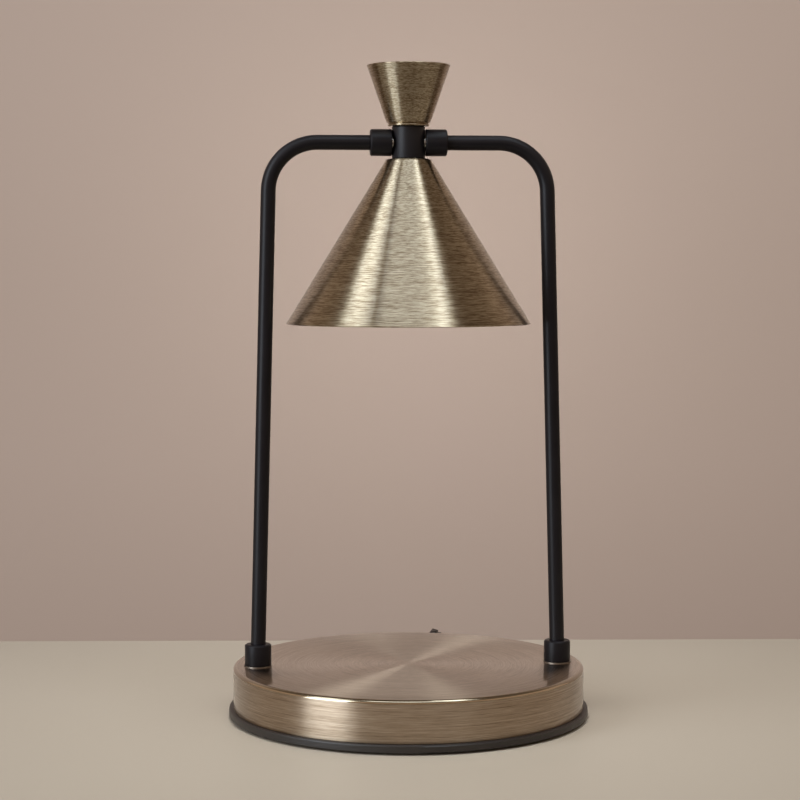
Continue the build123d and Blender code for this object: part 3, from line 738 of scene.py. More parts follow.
class Finish(Enum):
    """Every finish of the lamp."""

    BRASS = BrushedMetal("antique_brass")
    BRASS_TOP = BrushedMetal(
        "antique_brass_disc", (0.232, 0.168, 0.106), (0.55, 0.445, 0.33), stain=(0.20, 0.12, 0.065),
        roughness=0.36, lines=3800.0, dashes=0.45, contrast=4.4, anisotropy=0.97, lacquer=0.9)
    BRASS_RIM = BrushedMetal(
        "antique_brass_rim", roughness=0.1, spread=0.03, bump=0.01, contrast=1.5, patina=0.1,
        anisotropy=0.0, lacquer=0.9)
    BLACK = Coated(
        "satin_black", (0.006, 0.0052, 0.0062), (0.011, 0.0095, 0.0112), roughness=0.34, bump=0.05,
        shine=0.2)
    PLATE_BLACK = Coated(
        "plate_black", (0.013, 0.0105, 0.009), (0.023, 0.019, 0.0165), roughness=0.38, bump=0.05)
    HUB_BLACK = Coated(
        "textured_black", (0.007, 0.0062, 0.0072), (0.014, 0.012, 0.0135), roughness=0.36, bump=0.35,
        grain=1700.0, shine=0.25)
    STEEL = Coated(
        "zinc_steel", (0.44, 0.44, 0.43), (0.62, 0.62, 0.60), roughness=0.28, grain=900.0, metallic=1.0)
    DULL_STEEL = Coated(
        "dull_steel", (0.20, 0.17, 0.14), (0.30, 0.26, 0.22), grain=900.0, metallic=1.0)
    BRIGHT_STEEL = Coated(
        "bright_steel", (0.70, 0.66, 0.61), (0.84, 0.80, 0.75), roughness=0.22, grain=900.0, metallic=1.0)
    IRON = Coated(
        "cast_iron", (0.045, 0.043, 0.042), (0.09, 0.085, 0.08), roughness=0.6, bump=0.6, grain=700.0,
        metallic=1.0)
    RUBBER = Coated(
        "pad_rubber", (0.012, 0.012, 0.012), (0.022, 0.022, 0.022), roughness=0.75, bump=0.4, grain=1500.0)
    # Painted shade: the pivot bushes are coloured dark because they sit in the shaded gaps beside the hub.
    # The real nylon is light.
    NYLON = Coated("nylon", (0.035, 0.033, 0.032), (0.05, 0.047, 0.045), roughness=0.55)
    CERAMIC = Coated(
        "white_ceramic", (0.74, 0.72, 0.67), (0.83, 0.81, 0.77), roughness=0.42, bump=0.15, grain=1600.0)
    CONTACT = Coated(
        "contact_brass", (0.55, 0.37, 0.15), (0.72, 0.50, 0.22), roughness=0.26, grain=900.0, metallic=1.0)
    MIRROR = Coated(
        "silvered_reflector", (0.74, 0.73, 0.70), (0.86, 0.85, 0.83), roughness=0.08, spread=0.05, bump=0.02,
        grain=300.0, metallic=1.0)
    GLASS = ClearGlass("clear_glass", (0.96, 0.97, 0.96))
    BLOCK = Coated("block_plastic", (0.68, 0.66, 0.60), (0.78, 0.76, 0.71))
    CORD = Coated(
        "cord_plastic", (0.010, 0.0095, 0.0095), (0.018, 0.017, 0.017), roughness=0.42, bump=0.12,
        grain=1200.0)
    SLEEVE = Coated("lead_sleeve", (0.56, 0.55, 0.51), (0.66, 0.65, 0.61), roughness=0.5)
    BOARD = Coated(
        "board_laminate", (0.010, 0.07, 0.028), (0.018, 0.10, 0.04), roughness=0.28, grain=500.0)
    WHEEL = Coated(
        "wheel_plastic", (0.014, 0.0125, 0.0125), (0.024, 0.021, 0.021), roughness=0.46, bump=0.3,
        grain=1500.0)
    TIE = Coated(
        "tie_plastic", (0.016, 0.010, 0.0075), (0.030, 0.020, 0.014), roughness=0.5, bump=0.3, grain=900.0)

    @cache
    def material(self) -> bpy.types.Material:
        """The finish's material, made at its first use."""
        return self.value.make()


def finish_piece(
    piece: bpy.types.Object, finish: Finish, slot: Slot, body: Body, *nodes: str,
) -> bpy.types.Object:
    """Dresses a piece, rides it on its body and lets it stand for CAD nodes.

    Args:
        piece: The finished mesh or curve.
        finish: Its finish.
        slot: The record's material slot that it belongs to. It is not used.
        body: The body that it moves with.
        nodes: The CAD nodes that it replaces.

    Returns:
        The same piece.
    """
    piece.data.materials.clear()
    piece.data.materials.append(finish.material())
    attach(piece, body.value)
    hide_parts(*nodes)
    faces = len(piece.data.polygons) if piece.type == "MESH" else 0
    LOG.info("%s: %d faces, rides on %s, stands for %s", piece.name, faces, body.value, ", ".join(nodes))
    return piece


class SubAssembly:
    """A sub-assembly of the lamp, with the CAD nodes that it keeps and their finishes."""

    kept: ClassVar[dict[str, Finish]] = {}

    def dress_kept(self) -> None:
        """Gives each kept CAD node its finish."""
        for node, finish in self.kept.items():
            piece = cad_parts[node]
            piece.data.materials.clear()
            piece.data.materials.append(finish.material())
            LOG.info("%s: kept, %s", node, finish.value.name)


# ---- Base ----


@dataclass
class WeightedBase(SubAssembly):
    """The round base: brass pan, black plate, pad and the small parts inside."""

    pan_radius: float = 83.05
    pan_low: float = 4.6
    pan_high: float = 23.9
    pan_wall: float = 1.0
    edge_round: float = 1.8
    edge_share: float = 0.995
    edge_tilt: float = 0.05
    foot_round: float = 0.3
    inner_chamfer: float = 0.5
    top_rings: tuple[float, ...] = (0.35, 0.7)
    leg_place: float = 71.4
    leg_hole: float = 3.75
    leg_cut: float = 10.0
    slot_angle: float = 120.0
    slot_width: float = 18.3
    slot_low: float = 9.6
    slot_high: float = 14.4
    slot_cut: float = 4.0
    relief_angle: float = 60.0
    relief_height: float = 13.5
    relief_hole: float = 3.6
    relief_cut: float = 8.0
    kept: ClassVar[dict[str, Finish]] = {
        "base_plate": Finish.PLATE_BLACK, "foot_pad": Finish.RUBBER, "counterweight": Finish.IRON,
        "plate_pillars": Finish.STEEL, "plate_screws": Finish.STEEL, "leg_washers": Finish.STEEL,
        "leg_nuts": Finish.STEEL, "seat_washers": Finish.DULL_STEEL, "terminal_block": Finish.BLOCK,
        "terminal_screws": Finish.CONTACT, "block_screw": Finish.STEEL, "cord_clip": Finish.BLOCK,
        "clip_screws": Finish.STEEL, "inner_cord": Finish.CORD, "dimmer_board": Finish.BOARD,
        "board_screws": Finish.STEEL, "dimmer_pot": Finish.BLOCK, "dimmer_wheel": Finish.WHEEL,
    }

    def pan_profile(self) -> Profile:
        """Draws the pan's wall, from the middle of its top, over its edge, to the middle inside.

        Returns:
            Its radii and heights.
        """
        radius, low, high = self.pan_radius, self.pan_low, self.pan_high
        inner, under = radius - self.pan_wall, high - self.pan_wall
        edge, foot = self.edge_round, self.foot_round
        profile: Profile = [(TIP, high)]
        profile += [(radius * share, high) for share in self.top_rings]
        profile += arc((radius - edge, high - edge), edge, 90, 0, 8)
        profile += arc((radius - foot, low + foot), foot, 0, -90, 3)
        profile += [(inner, low), (inner, under - self.inner_chamfer)]
        profile += [(inner - self.inner_chamfer, under), (TIP, under)]
        return profile

    def cut_openings(self, pan: bpy.types.Object) -> None:
        """Cuts the holes of the legs and the cord's relief, and the wheel's slot.

        Args:
            pan: The turned pan.
        """
        for side in Side:
            hole = Bench.bar("cutter", self.leg_hole, self.leg_cut)
            Bench.place(hole, moved(side.value * self.leg_place, 0, self.pan_high - self.leg_cut / 2))
            Bench.cut(pan, hole)
        slot_size = (self.slot_cut, self.slot_width, self.slot_high - self.slot_low)
        slot_middle = (self.pan_radius, 0, (self.slot_low + self.slot_high) / 2)
        slot = Bench.block("cutter", slot_size, slot_middle)
        Bench.place(slot, rotated(self.slot_angle, "Z"))
        Bench.cut(pan, slot)
        bore = Bench.bar("cutter", self.relief_hole, self.relief_cut)
        reach = self.pan_radius - self.relief_cut / 2
        Bench.place(bore, outward(self.relief_angle, reach, self.relief_height))
        Bench.cut(pan, bore)

    def polish_edge(self, pan: bpy.types.Object) -> None:
        """Gives the faces of the rounded upper edge their polished finish.

        Args:
            pan: The dressed pan.
        """
        pan.data.materials.append(Finish.BRASS_RIM.material())
        for face in pan.data.polygons:
            rise = face.center.z / MM - (self.pan_high - self.edge_round)
            below_top = 0 < rise < self.edge_round * self.edge_share
            face.material_index = int(below_top and face.normal.z > self.edge_tilt)

    def pan(self) -> None:
        """Turns the brass pan, opens it and dresses it."""
        pan = Bench.turned("base_pan", self.pan_profile(), segments=256)
        self.cut_openings(pan)
        Bench.smooth(pan, angle=28)
        finish_piece(pan, Finish.BRASS_TOP, Slot.ANTIQUE_BRASS, Body.BASE, "base_cover")
        self.polish_edge(pan)

    def build(self) -> None:
        """Builds the pan and dresses what the base keeps."""
        self.pan()
        self.dress_kept()


# ---- Hoop ----


@dataclass
class Hoop(SubAssembly):
    """The two bent tubes with their collars and the screws that hold them."""

    tube_radius: float = 3.5
    tube_wall: float = 1.0
    tube_facets: int = 64
    bend_radius: float = 23.0
    leg_span: float = 142.8
    leg_splay: float = 1.5
    span_height: float = 23.9
    tube_foot: float = 12.9
    arm_height: float = 270.0
    tube_end: float = 12.3
    leg_steps: int = 8
    bend_steps: int = 28
    arm_steps: int = 3
    collar_radius: float = 6.25
    collar_edge: float = 0.55
    foot_low: float = 24.3
    foot_high: float = 34.3
    foot_play: float = 0.1
    arm_start: float = 7.9
    arm_end: float = 18.0
    arm_play: float = 0.55
    screw_place: float = 15.15
    screw_radius: float = 1.5
    screw_length: float = 2.5
    screw_back: float = 3.62
    socket_radius: float = 0.75
    socket_low: float = 1.4
    socket_cut: float = 1.5
    # The pivot bushes take a dark finish that paints the shade of the gaps beside the hub.
    kept: ClassVar[dict[str, Finish]] = {
        "pivot_bush_left": Finish.NYLON, "pivot_bush_right": Finish.NYLON, "frame_lead": Finish.SLEEVE,
    }

    def leg_x(self, height: float) -> float:
        """How far a leg's centre is from the middle at a height."""
        return self.leg_span / 2 - (height - self.span_height) * math.tan(math.radians(self.leg_splay))

    def tube(self) -> bpy.types.Object:
        """Extrudes the right leg, spins its bend, extrudes its arm and gives the tube its wall.

        Returns:
            The right tube, not yet dressed.
        """
        lean = math.radians(self.leg_splay)
        turn = math.pi / 2 - lean
        back = self.bend_radius * math.tan(turn / 2)
        up = Vector((-math.sin(lean), 0, math.cos(lean)))
        corner = Vector((self.leg_x(self.arm_height), 0, self.arm_height))
        foot = Vector((self.leg_x(self.tube_foot), 0, self.tube_foot))
        knee = corner - up * back
        shoulder = corner - Vector((back, 0, 0))
        center = shoulder - Vector((0, 0, self.bend_radius))
        Bench.clear()
        bpy.ops.mesh.primitive_circle_add(
            vertices=self.tube_facets, radius=self.tube_radius * MM, location=foot * MM,
            rotation=(0, -lean, 0))
        tube = Bench.name_new("hoop_tube")
        Bench.settle(tube)
        Bench.edit(tube)
        for _ in range(self.leg_steps):
            Bench.pull((knee - foot) * MM / self.leg_steps)
        bpy.ops.mesh.spin(steps=self.bend_steps, angle=turn, center=center * MM, axis=(0, 1, 0))
        for _ in range(self.arm_steps):
            Bench.pull(Vector((self.tube_end - shoulder.x, 0, 0)) * MM / self.arm_steps)
        Bench.mend(tube)
        Bench.apply_modifier(tube, "SOLIDIFY", thickness=self.tube_wall * MM, offset=-1.0)
        return tube

    def tubes(self) -> None:
        """Makes one tube for each side. The left one is the right one's mirror image."""
        for side, tube in Bench.pair("hoop_tube", self.tube()).items():
            if side is Side.LEFT:
                Bench.edit(tube)
                bpy.ops.transform.resize(value=(-1, 1, 1), center_override=(0, 0, 0))
            Bench.mend(tube)
            Bench.smooth(tube, angle=40)
            finish_piece(tube, Finish.BLACK, Slot.BLACK_METAL, Body.BASE, f"frame_tube_{side.word}")

    def collar(self, play: float, length: float) -> bpy.types.Object:
        """Turns a collar with softened edges that stands on the origin.

        Args:
            play: The room between its bore and the tube.
            length: Its length.

        Returns:
            The collar, not yet placed.
        """
        edge, radius, bore = self.collar_edge, self.collar_radius, self.tube_radius + play
        profile: Profile = [(bore, 0), (radius - edge / 2, 0), (radius, edge / 2)]
        profile += [(radius, length - edge), (radius - edge, length), (bore, length)]
        collar = Bench.turned("collar", profile, segments=96, ring=True)
        Bench.soften(collar, 0.15, segments=2)
        return collar

    def foot_collars(self) -> None:
        """Stands a collar on the base, round the foot of each leg."""
        length = self.foot_high - self.foot_low
        middle = self.leg_x((self.foot_low + self.foot_high) / 2)
        for side, collar in Bench.pair("foot_sleeve", self.collar(self.foot_play, length)).items():
            Bench.place(collar, moved(side.value * middle, 0, self.foot_low))
            finish_piece(collar, Finish.BLACK, Slot.BLACK_METAL, Body.BASE, f"foot_collar_{side.word}")

    def arm_collars(self) -> None:
        """Lays a collar round the end of each arm, beside the hub."""
        length = self.arm_end - self.arm_start
        for side, collar in Bench.pair("arm_sleeve", self.collar(self.arm_play, length)).items():
            start = moved(side.value * self.arm_start, 0, self.arm_height)
            Bench.place(collar, start @ rotated(90 * side.value, "Y"))
            finish_piece(collar, Finish.BLACK, Slot.BLACK_METAL, Body.BASE, f"arm_collar_{side.word}")

    def screws(self) -> None:
        """Makes the socket grub screws in the backs of the arm collars."""
        screw = Bench.bar("screw", self.screw_radius, self.screw_length, segments=32)
        socket = Bench.bar("cutter", self.socket_radius, self.socket_cut, segments=6)
        Bench.place(socket, moved(0, 0, self.socket_low))
        Bench.cut(screw, socket)
        Bench.soften(screw, 0.1, segments=2)
        pair = Bench.pair("screw", screw)
        for side, one in pair.items():
            spot = moved(side.value * self.screw_place, self.screw_back, self.arm_height)
            Bench.place(one, spot @ rotated(-90, "X"))
        screws = Bench.join("arm_grub_screws", list(pair.values()))
        finish_piece(screws, Finish.STEEL, Slot.ZINC_STEEL, Body.BASE, "grub_screws")

    def build(self) -> None:
        """Builds both tubes, all collars and the screws, and dresses what the hoop keeps."""
        self.tubes()
        self.foot_collars()
        self.arm_collars()
        self.screws()
        self.dress_kept()


# ---- Head ----


@dataclass
class Finial:
    """The hollow brass cone that stands on its point above the hub, with its top disc."""

    low: float = 277.6
    high: float = 305.9
    bottom_radius: float = 9.75
    top_radius: float = 19.5
    wall: float = 1.3
    bore: float = 5.05
    boss_radius: float = 7.5
    boss_height: float = 11.5
    boss_foot: float = 4.0
    inner_low: float = 5.0
    bead_round: float = 0.45
    bead_height: float = 1.15
    neck_height: float = 1.6
    neck_depth: float = 0.25
    rings: tuple[float, ...] = (3.6, 14.0, 27.3)
    edge_round: float = 0.4
    edge_inset: float = 0.45
    recess: float = 1.25
    disc_play: float = 0.06
    disc_round: float = 0.25
    disc_drop: float = 0.05
    disc_low: float = 1.2

    def radius(self, rise: float) -> float:
        """The cone's outer radius at a height above its foot."""
        slope = (self.top_radius - self.bottom_radius) / (self.high - self.low)
        return self.bottom_radius + slope * rise

    def body(self) -> None:
        """Turns the cone with the bead at its foot and the boss of its threaded bore."""
        low, high, foot, bead = self.low, self.high, self.bottom_radius, self.bead_round
        lip = self.top_radius - self.wall
        profile: Profile = [(self.bore, low), (foot - self.neck_depth, low)]
        profile += arc((foot - bead, low + bead), bead, -60, 60, 5)
        profile += [(foot - 2 * self.neck_depth, low + self.bead_height)]
        profile += [(self.radius(self.neck_height) - self.neck_depth, low + self.neck_height)]
        profile += [(self.radius(rise), low + rise) for rise in self.rings]
        edge = (self.top_radius - self.edge_inset, high - self.edge_round)
        profile += arc(edge, self.edge_round, 0, 90, 4)
        profile += [(lip, high), (lip, high - self.recess)]
        profile += [(self.radius(self.inner_low) - self.wall, low + self.inner_low)]
        profile += [(self.boss_radius, low + self.boss_foot), (self.boss_radius, low + self.boss_height)]
        profile += [(self.bore, low + self.boss_height)]
        cone = Bench.turned("finial_body", profile, segments=224, ring=True)
        Bench.smooth(cone, angle=24)
        finish_piece(cone, Finish.BRASS, Slot.ANTIQUE_BRASS, Body.HEAD, "finial_cone")

    def disc(self) -> None:
        """Turns the disc that closes the cone."""
        radius, rounding = self.top_radius - self.wall - self.disc_play, self.disc_round
        top, under = self.high - self.disc_drop, self.high - self.disc_low
        profile: Profile = [(TIP, top), (radius / 2, top)]
        profile += arc((radius - rounding, top - rounding), rounding, 90, 0, 4)
        profile += [(radius, under), (TIP, under)]
        disc = Bench.turned("finial_disc", profile, segments=224)
        Bench.smooth(disc, angle=24)
        finish_piece(disc, Finish.BRASS_TOP, Slot.ANTIQUE_BRASS, Body.HEAD, "finial_cap")


@dataclass
class ConeShade:
    """The spun brass cone with its round shoulder, open below."""

    low: float = 185.3
    high: float = 262.4
    top_radius: float = 10.35
    rim_radius: float = 57.55
    wall: float = 1.0
    shoulder: float = 1.8
    bore: float = 5.3
    inner_chamfer: float = 0.5
    inner_blend: float = 0.1
    rings: tuple[float, ...] = (20.0, 40.0, 60.0)
    outer_foot: float = 1.2
    inner_foot: float = 1.0
    outer_lip: Pair = (0.0588, 0.35)
    inner_lip: Pair = (0.15, 0.2)
    under_lip: Pair = (0.3, 0.05)
    lip_middle: float = 0.55

    @property
    def slope(self) -> float:
        """How much wider the cone gets in each millimetre down."""
        return (self.rim_radius - self.top_radius) / (self.high - self.low)

    @property
    def thick(self) -> float:
        """The wall's thickness measured level."""
        return self.wall * math.hypot(1, self.slope)

    def flank(self, inset: float, rises: Sequence[float]) -> Profile:
        """Points of the cone's face at heights above its rim, less an inset measured level."""
        return [(self.rim_radius - inset - self.slope * rise, self.low + rise) for rise in rises]

    def profile(self) -> Profile:
        """Draws the wall, from the rim up its outside and down its inside.

        Returns:
            Its radii and heights.
        """
        low, high, rim, thick = self.low, self.high, self.rim_radius, self.thick
        lean = math.degrees(math.atan(self.slope))
        tangent = self.shoulder * math.tan(math.radians(90 - lean) / 2)
        under = high - self.wall
        inner_top = self.top_radius + self.slope * self.wall - thick
        profile: Profile = [(rim - self.outer_lip[0], low + self.outer_lip[1])]
        profile += self.flank(0.0, (self.outer_foot, *self.rings))
        profile += arc((self.top_radius - tangent, high - self.shoulder), self.shoulder, lean, 90, 8)
        profile += [(self.bore, high), (self.bore, under)]
        profile += [(inner_top - self.inner_chamfer, under)]
        profile += [(inner_top + self.inner_blend, under - self.inner_chamfer)]
        profile += self.flank(thick, (*reversed(self.rings), self.inner_foot))
        # The rim is rounded by three points, from the inside to the outside.
        profile += [(rim - thick + self.inner_lip[0], low + self.inner_lip[1])]
        profile += [(rim - thick * self.lip_middle, low)]
        profile += [(rim - self.under_lip[0], low + self.under_lip[1])]
        return profile

    def cone(self) -> None:
        """Turns the shade."""
        cone = Bench.turned("shade_cone", self.profile(), segments=256, ring=True)
        Bench.smooth(cone, angle=34)
        finish_piece(cone, Finish.BRASS, Slot.ANTIQUE_BRASS, Body.HEAD, "shade")


@dataclass
class TiltingHead(SubAssembly):
    """The hub between the arms with the brass finial above and the brass shade below."""

    hub_radius: float = 7.75
    hub_low: float = 262.4
    hub_high: float = 277.6
    hub_bore: float = 5.2
    hub_chamfer: float = 0.4
    kept: ClassVar[dict[str, Finish]] = {
        "pivot_pin_left": Finish.STEEL, "pivot_pin_right": Finish.STEEL, "nipple": Finish.STEEL,
        "shade_washer": Finish.STEEL, "shade_nut": Finish.STEEL, "holder_bracket": Finish.STEEL,
        "lampholder": Finish.CERAMIC, "holder_contacts": Finish.CONTACT, "holder_screws": Finish.STEEL,
        "head_lead": Finish.SLEEVE,
    }

    def hub(self) -> None:
        """Turns the black hub with its fine chamfers."""
        low, high, radius, chamfer = self.hub_low, self.hub_high, self.hub_radius, self.hub_chamfer
        profile: Profile = [(self.hub_bore, low), (radius - chamfer, low), (radius, low + chamfer)]
        profile += [(radius, high - chamfer), (radius - chamfer, high), (self.hub_bore, high)]
        hub = Bench.turned("hub_drum", profile, segments=96, ring=True)
        Bench.soften(hub, 0.12, segments=2)
        finish_piece(hub, Finish.HUB_BLACK, Slot.BLACK_METAL, Body.HEAD, "hub")

    def build(self) -> None:
        """Builds hub, finial and shade, and dresses what holds the bulb."""
        self.hub()
        finial = Finial(low=self.hub_high)
        finial.body()
        finial.disc()
        ConeShade(high=self.hub_low).cone()
        self.dress_kept()


@dataclass
class Bulb(SubAssembly):
    """The twist-lock halogen bulb."""

    front: float = 191.35
    neck: float = 222.35
    radius: float = 25.0
    neck_radius: float = 9.0
    neck_bore: float = 5.0
    wall: float = 1.2
    bead_height: float = 6.0
    bulge: float = 1.55
    facets: int = 36
    rows: int = 9
    lens_thick: float = 2.0
    back_round: float = 0.5
    front_round: float = 0.8
    edge: float = 0.3
    kept: ClassVar[dict[str, Finish]] = {
        "bulb_base": Finish.CERAMIC, "bulb_pins": Finish.BRIGHT_STEEL, "bulb_capsule": Finish.GLASS,
    }

    def side(self, share: float, inset: float) -> Pair:
        """Finds a point on the bell's side.

        Args:
            share: Its place from the bead at 0 to the neck at 1.
            inset: How far it lies inside the outer face.

        Returns:
            Its radius and height.
        """
        bead = self.front + self.bead_height
        curve = math.sqrt(max(0.0, 1 - share ** self.bulge))
        radius = self.neck_radius + (self.radius - self.neck_radius) * curve
        return (radius - inset, bead + (self.neck - bead) * share)

    def reflector(self) -> None:
        """Turns the bell with smooth glass outside and rows of facets inside."""
        low = self.front + self.lens_thick
        steps = [row / self.rows for row in range(self.rows + 1)]
        profile: Profile = [(self.radius, low + self.edge)]
        profile += [self.side(share, 0.0) for share in steps]
        profile += [(self.neck_bore, self.neck), (self.neck_bore, self.neck - self.wall)]
        profile += [self.side(share, self.wall) for share in reversed(steps[:-1])]
        profile += [(self.radius - self.wall, low), (self.radius - self.edge, low)]
        bell = Bench.turned("reflector_bell", profile, segments=self.facets, ring=True)
        Bench.smooth(bell, angle=6)
        finish_piece(bell, Finish.MIRROR, Slot.REFLECTOR_GLASS, Body.BULB, "bulb_reflector")

    def lens(self) -> None:
        """Turns the front glass with rounded edges."""
        low, high, back, front = self.front, self.front + self.lens_thick, self.back_round, self.front_round
        profile: Profile = [(TIP, high), (self.radius - back, high)]
        profile += arc((self.radius - back, high - back), back, 90, 0, 4)
        profile += arc((self.radius - front, low + front), front, 0, -90, 5)
        profile += [(TIP, low)]
        lens = Bench.turned("front_lens", profile, segments=128)
        Bench.smooth(lens, angle=30)
        finish_piece(lens, Finish.GLASS, Slot.CLEAR_GLASS, Body.BULB, "bulb_lens")

    def build(self) -> None:
        """Builds the bell and lens and dresses the rest."""
        self.reflector()
        self.lens()
        self.dress_kept()


# ---- Mains cord ----


@dataclass(frozen=True)
class GripRibs:
    """A row of moulded ribs along a relief, each with a groove behind it."""

    start: float
    pitch: float
    count: int
    radius: float
    growth: float
    width: float
    flank: float
    depth: float
    groove_end: float

    def profile(self) -> Profile:
        """Draws the ribs.

        Returns:
            Their radii and heights from the first rib to the last groove.
        """
        profile: Profile = []
        for rib in range(self.count):
            low = self.start + rib * self.pitch
            radius = self.radius + rib * self.growth
            root = radius - self.depth
            profile += [(radius, low), (radius, low + self.width)]
            profile += [(root, low + self.width + self.flank), (root, low + self.groove_end)]
        return profile


@dataclass
class StrainRelief:
    """The ribbed relief, clipped in the pan's wall by a groove between its two collars."""

    cord_radius: float = 2.45
    wall_radius: float = 83.05
    exit_angle: float = 60.0
    exit_height: float = 13.5
    inside: float = 80.0
    collar_radius: float = 5.5
    collar_edge: float = 0.3
    inner_width: float = 1.45
    groove_radius: float = 3.5
    groove_start: float = 1.5
    outer_start: float = 0.15
    outer_end: float = 1.25
    root_reach: float = 1.65
    root_radii: Pair = (5.1, 4.5)
    rib_start: float = 0.6
    rib_count: int = 7
    rib_length: float = 19.4
    rib_radius: float = 4.4
    tip_radius: float = 3.1
    tip_chamfer: Pair = (0.2, 0.4)
    length: float = 20.0

    def build(self) -> bpy.types.Object:
        """Turns the relief and lays it out through the base's wall.

        Returns:
            The finished relief.
        """
        bore, wall, inside = self.cord_radius, self.wall_radius, self.inside
        collar, edge, groove = self.collar_radius, self.collar_edge, self.groove_radius
        outer, root, tip = wall + self.outer_start, wall + self.root_reach, self.tip_radius
        end = root + self.length
        ribs = GripRibs(
            start=root + self.rib_start, pitch=self.rib_length / self.rib_count, count=self.rib_count,
            radius=self.rib_radius, growth=(tip - self.rib_radius) / self.rib_count, width=1.5, flank=0.25,
            depth=0.75, groove_end=2.5)
        profile: Profile = [(bore, inside), (collar - edge, inside), (collar, inside + edge)]
        profile += [(collar, inside + self.inner_width), (groove, inside + self.groove_start)]
        profile += [(groove, outer)]
        profile += [(collar - edge, outer), (collar, outer + edge), (collar, wall + self.outer_end)]
        profile += [(self.root_radii[0], root), (self.root_radii[1], root + edge), *ribs.profile()]
        profile += [(tip, end - self.tip_chamfer[1]), (tip - self.tip_chamfer[0], end), (bore, end)]
        relief = Bench.turned("cord_strain_relief", profile, segments=64, ring=True)
        Bench.soften(relief, 0.15, segments=2)
        Bench.place(relief, outward(self.exit_angle, 0, self.exit_height))
        return finish_piece(relief, Finish.CORD, Slot.CORD_PLASTIC, Body.BASE, "cord_relief")


@dataclass
class WireTie:
    """The flat wire tie round one side of the coil, with its ends twisted together on top."""

    coil_center: Pair
    angle: float = 74.9
    outer: float = 33.7
    inner: float = 17.9
    top: float = 10.8
    wall: float = 0.6
    width: float = 6.5
    twist_size: Point = (6.2, 3.3, 1.7)
    twist_place: Point = (30.2, 0.0, 12.2)
    twist_turn: float = 30.0
    twist_cuts: int = 15

    def strap(self) -> bpy.types.Object:
        """Bends the strap round the coil.

        Returns:
            The strap, not yet turned to its place.
        """
        middle = ((self.outer + self.inner) / 2, 0, (self.top + self.wall) / 2)
        span = self.outer - self.inner
        strap = Bench.block("tie_strap", (span + 2 * self.wall, self.width, self.top + self.wall), middle)
        hollow = Bench.block("cutter", (span, self.width * 2, self.top - self.wall), middle)
        Bench.cut(strap, hollow)
        Bench.soften(strap, 0.45)
        return strap

    def twist(self) -> bpy.types.Object:
        """Twists the ends together.

        Returns:
            The twist, not yet turned to its place.
        """
        twist = Bench.block("tie_twist", self.twist_size)
        Bench.edit(twist)
        bpy.ops.mesh.subdivide(number_cuts=self.twist_cuts)
        Bench.clear()
        Bench.apply_modifier(
            twist, "SIMPLE_DEFORM", deform_method="TWIST", deform_axis="X",
            angle=math.radians(self.twist_turn))
        Bench.place(twist, moved(*self.twist_place))
        Bench.soften(twist, 0.4, angle=50)
        return twist

    def build(self) -> bpy.types.Object:
        """Makes the tie and turns it to its place on the coil.

        Returns:
            The finished tie.
        """
        tie = Bench.join("coil_band", [self.strap(), self.twist()])
        Bench.place(tie, moved(*self.coil_center, 0) @ rotated(self.angle, "Z"))
        return finish_piece(tie, Finish.TIE, Slot.TIE_PLASTIC, Body.BASE, "coil_tie")


@dataclass
class Plug:
    """The moulded plug with its grip grooves and its ribbed relief."""

    cord_end: Point
    cord_radius: float = 2.45
    heading: float = 216.0
    sections: tuple[Point, ...] = ((9.4, 13.0, 12.0), (12.0, 21.0, 24.0), (12.0, 21.0, 36.0))
    edge_round: float = 1.6
    groove_size: Point = (9.0, 1.0, 1.0)
    groove_place: float = 10.4
    groove_start: float = 25.0
    groove_pitch: float = 2.4
    groove_count: int = 4
    mouth: tuple[Pair, ...] = ((2.9, 0.0), (3.1, 0.3))
    shank: tuple[Pair, ...] = ((4.0, 12.2), (4.0, 13.0))
    ribs: GripRibs = GripRibs(
        start=0.9, pitch=2.2, count=5, radius=3.2, growth=0.16, width=1.2, flank=0.2, depth=0.55,
        groove_end=2.0)

    def shell(self) -> bpy.types.Object:
        """Draws the plug's body and cuts its grooves.

        Returns:
            The body, not yet placed.
        """
        shell = Bench.drawn("plug_shell", self.sections)
        Bench.bevel(shell, self.edge_round, segments=4, angle=50)
        for row in range(self.groove_count):
            for side in Side:
                spot = (0, side.value * self.groove_place, self.groove_start + self.groove_pitch * row)
                Bench.cut(shell, Bench.block("cutter", self.groove_size, spot))
        return shell

    def neck(self) -> bpy.types.Object:
        """Turns the relief between cord and body.

        Returns:
            The relief, not yet placed.
        """
        start, end = (self.cord_radius, self.mouth[0][1]), (self.cord_radius, self.shank[-1][1])
        profile: Profile = [start, *self.mouth, *self.ribs.profile(), *self.shank, end]
        return Bench.turned("plug_neck", profile, segments=48, ring=True)

    def build(self) -> bpy.types.Object:
        """Makes the plug and lays it at the cord's end.

        Returns:
            The finished plug.
        """
        plug = Bench.join("plug_moulding", [self.shell(), self.neck()])
        Bench.smooth(plug, angle=34)
        Bench.place(plug, moved(*self.cord_end) @ rotated(self.heading, "Z") @ rotated(90, "Y"))
        return finish_piece(plug, Finish.CORD, Slot.CORD_PLASTIC, Body.BASE, "plug_body")


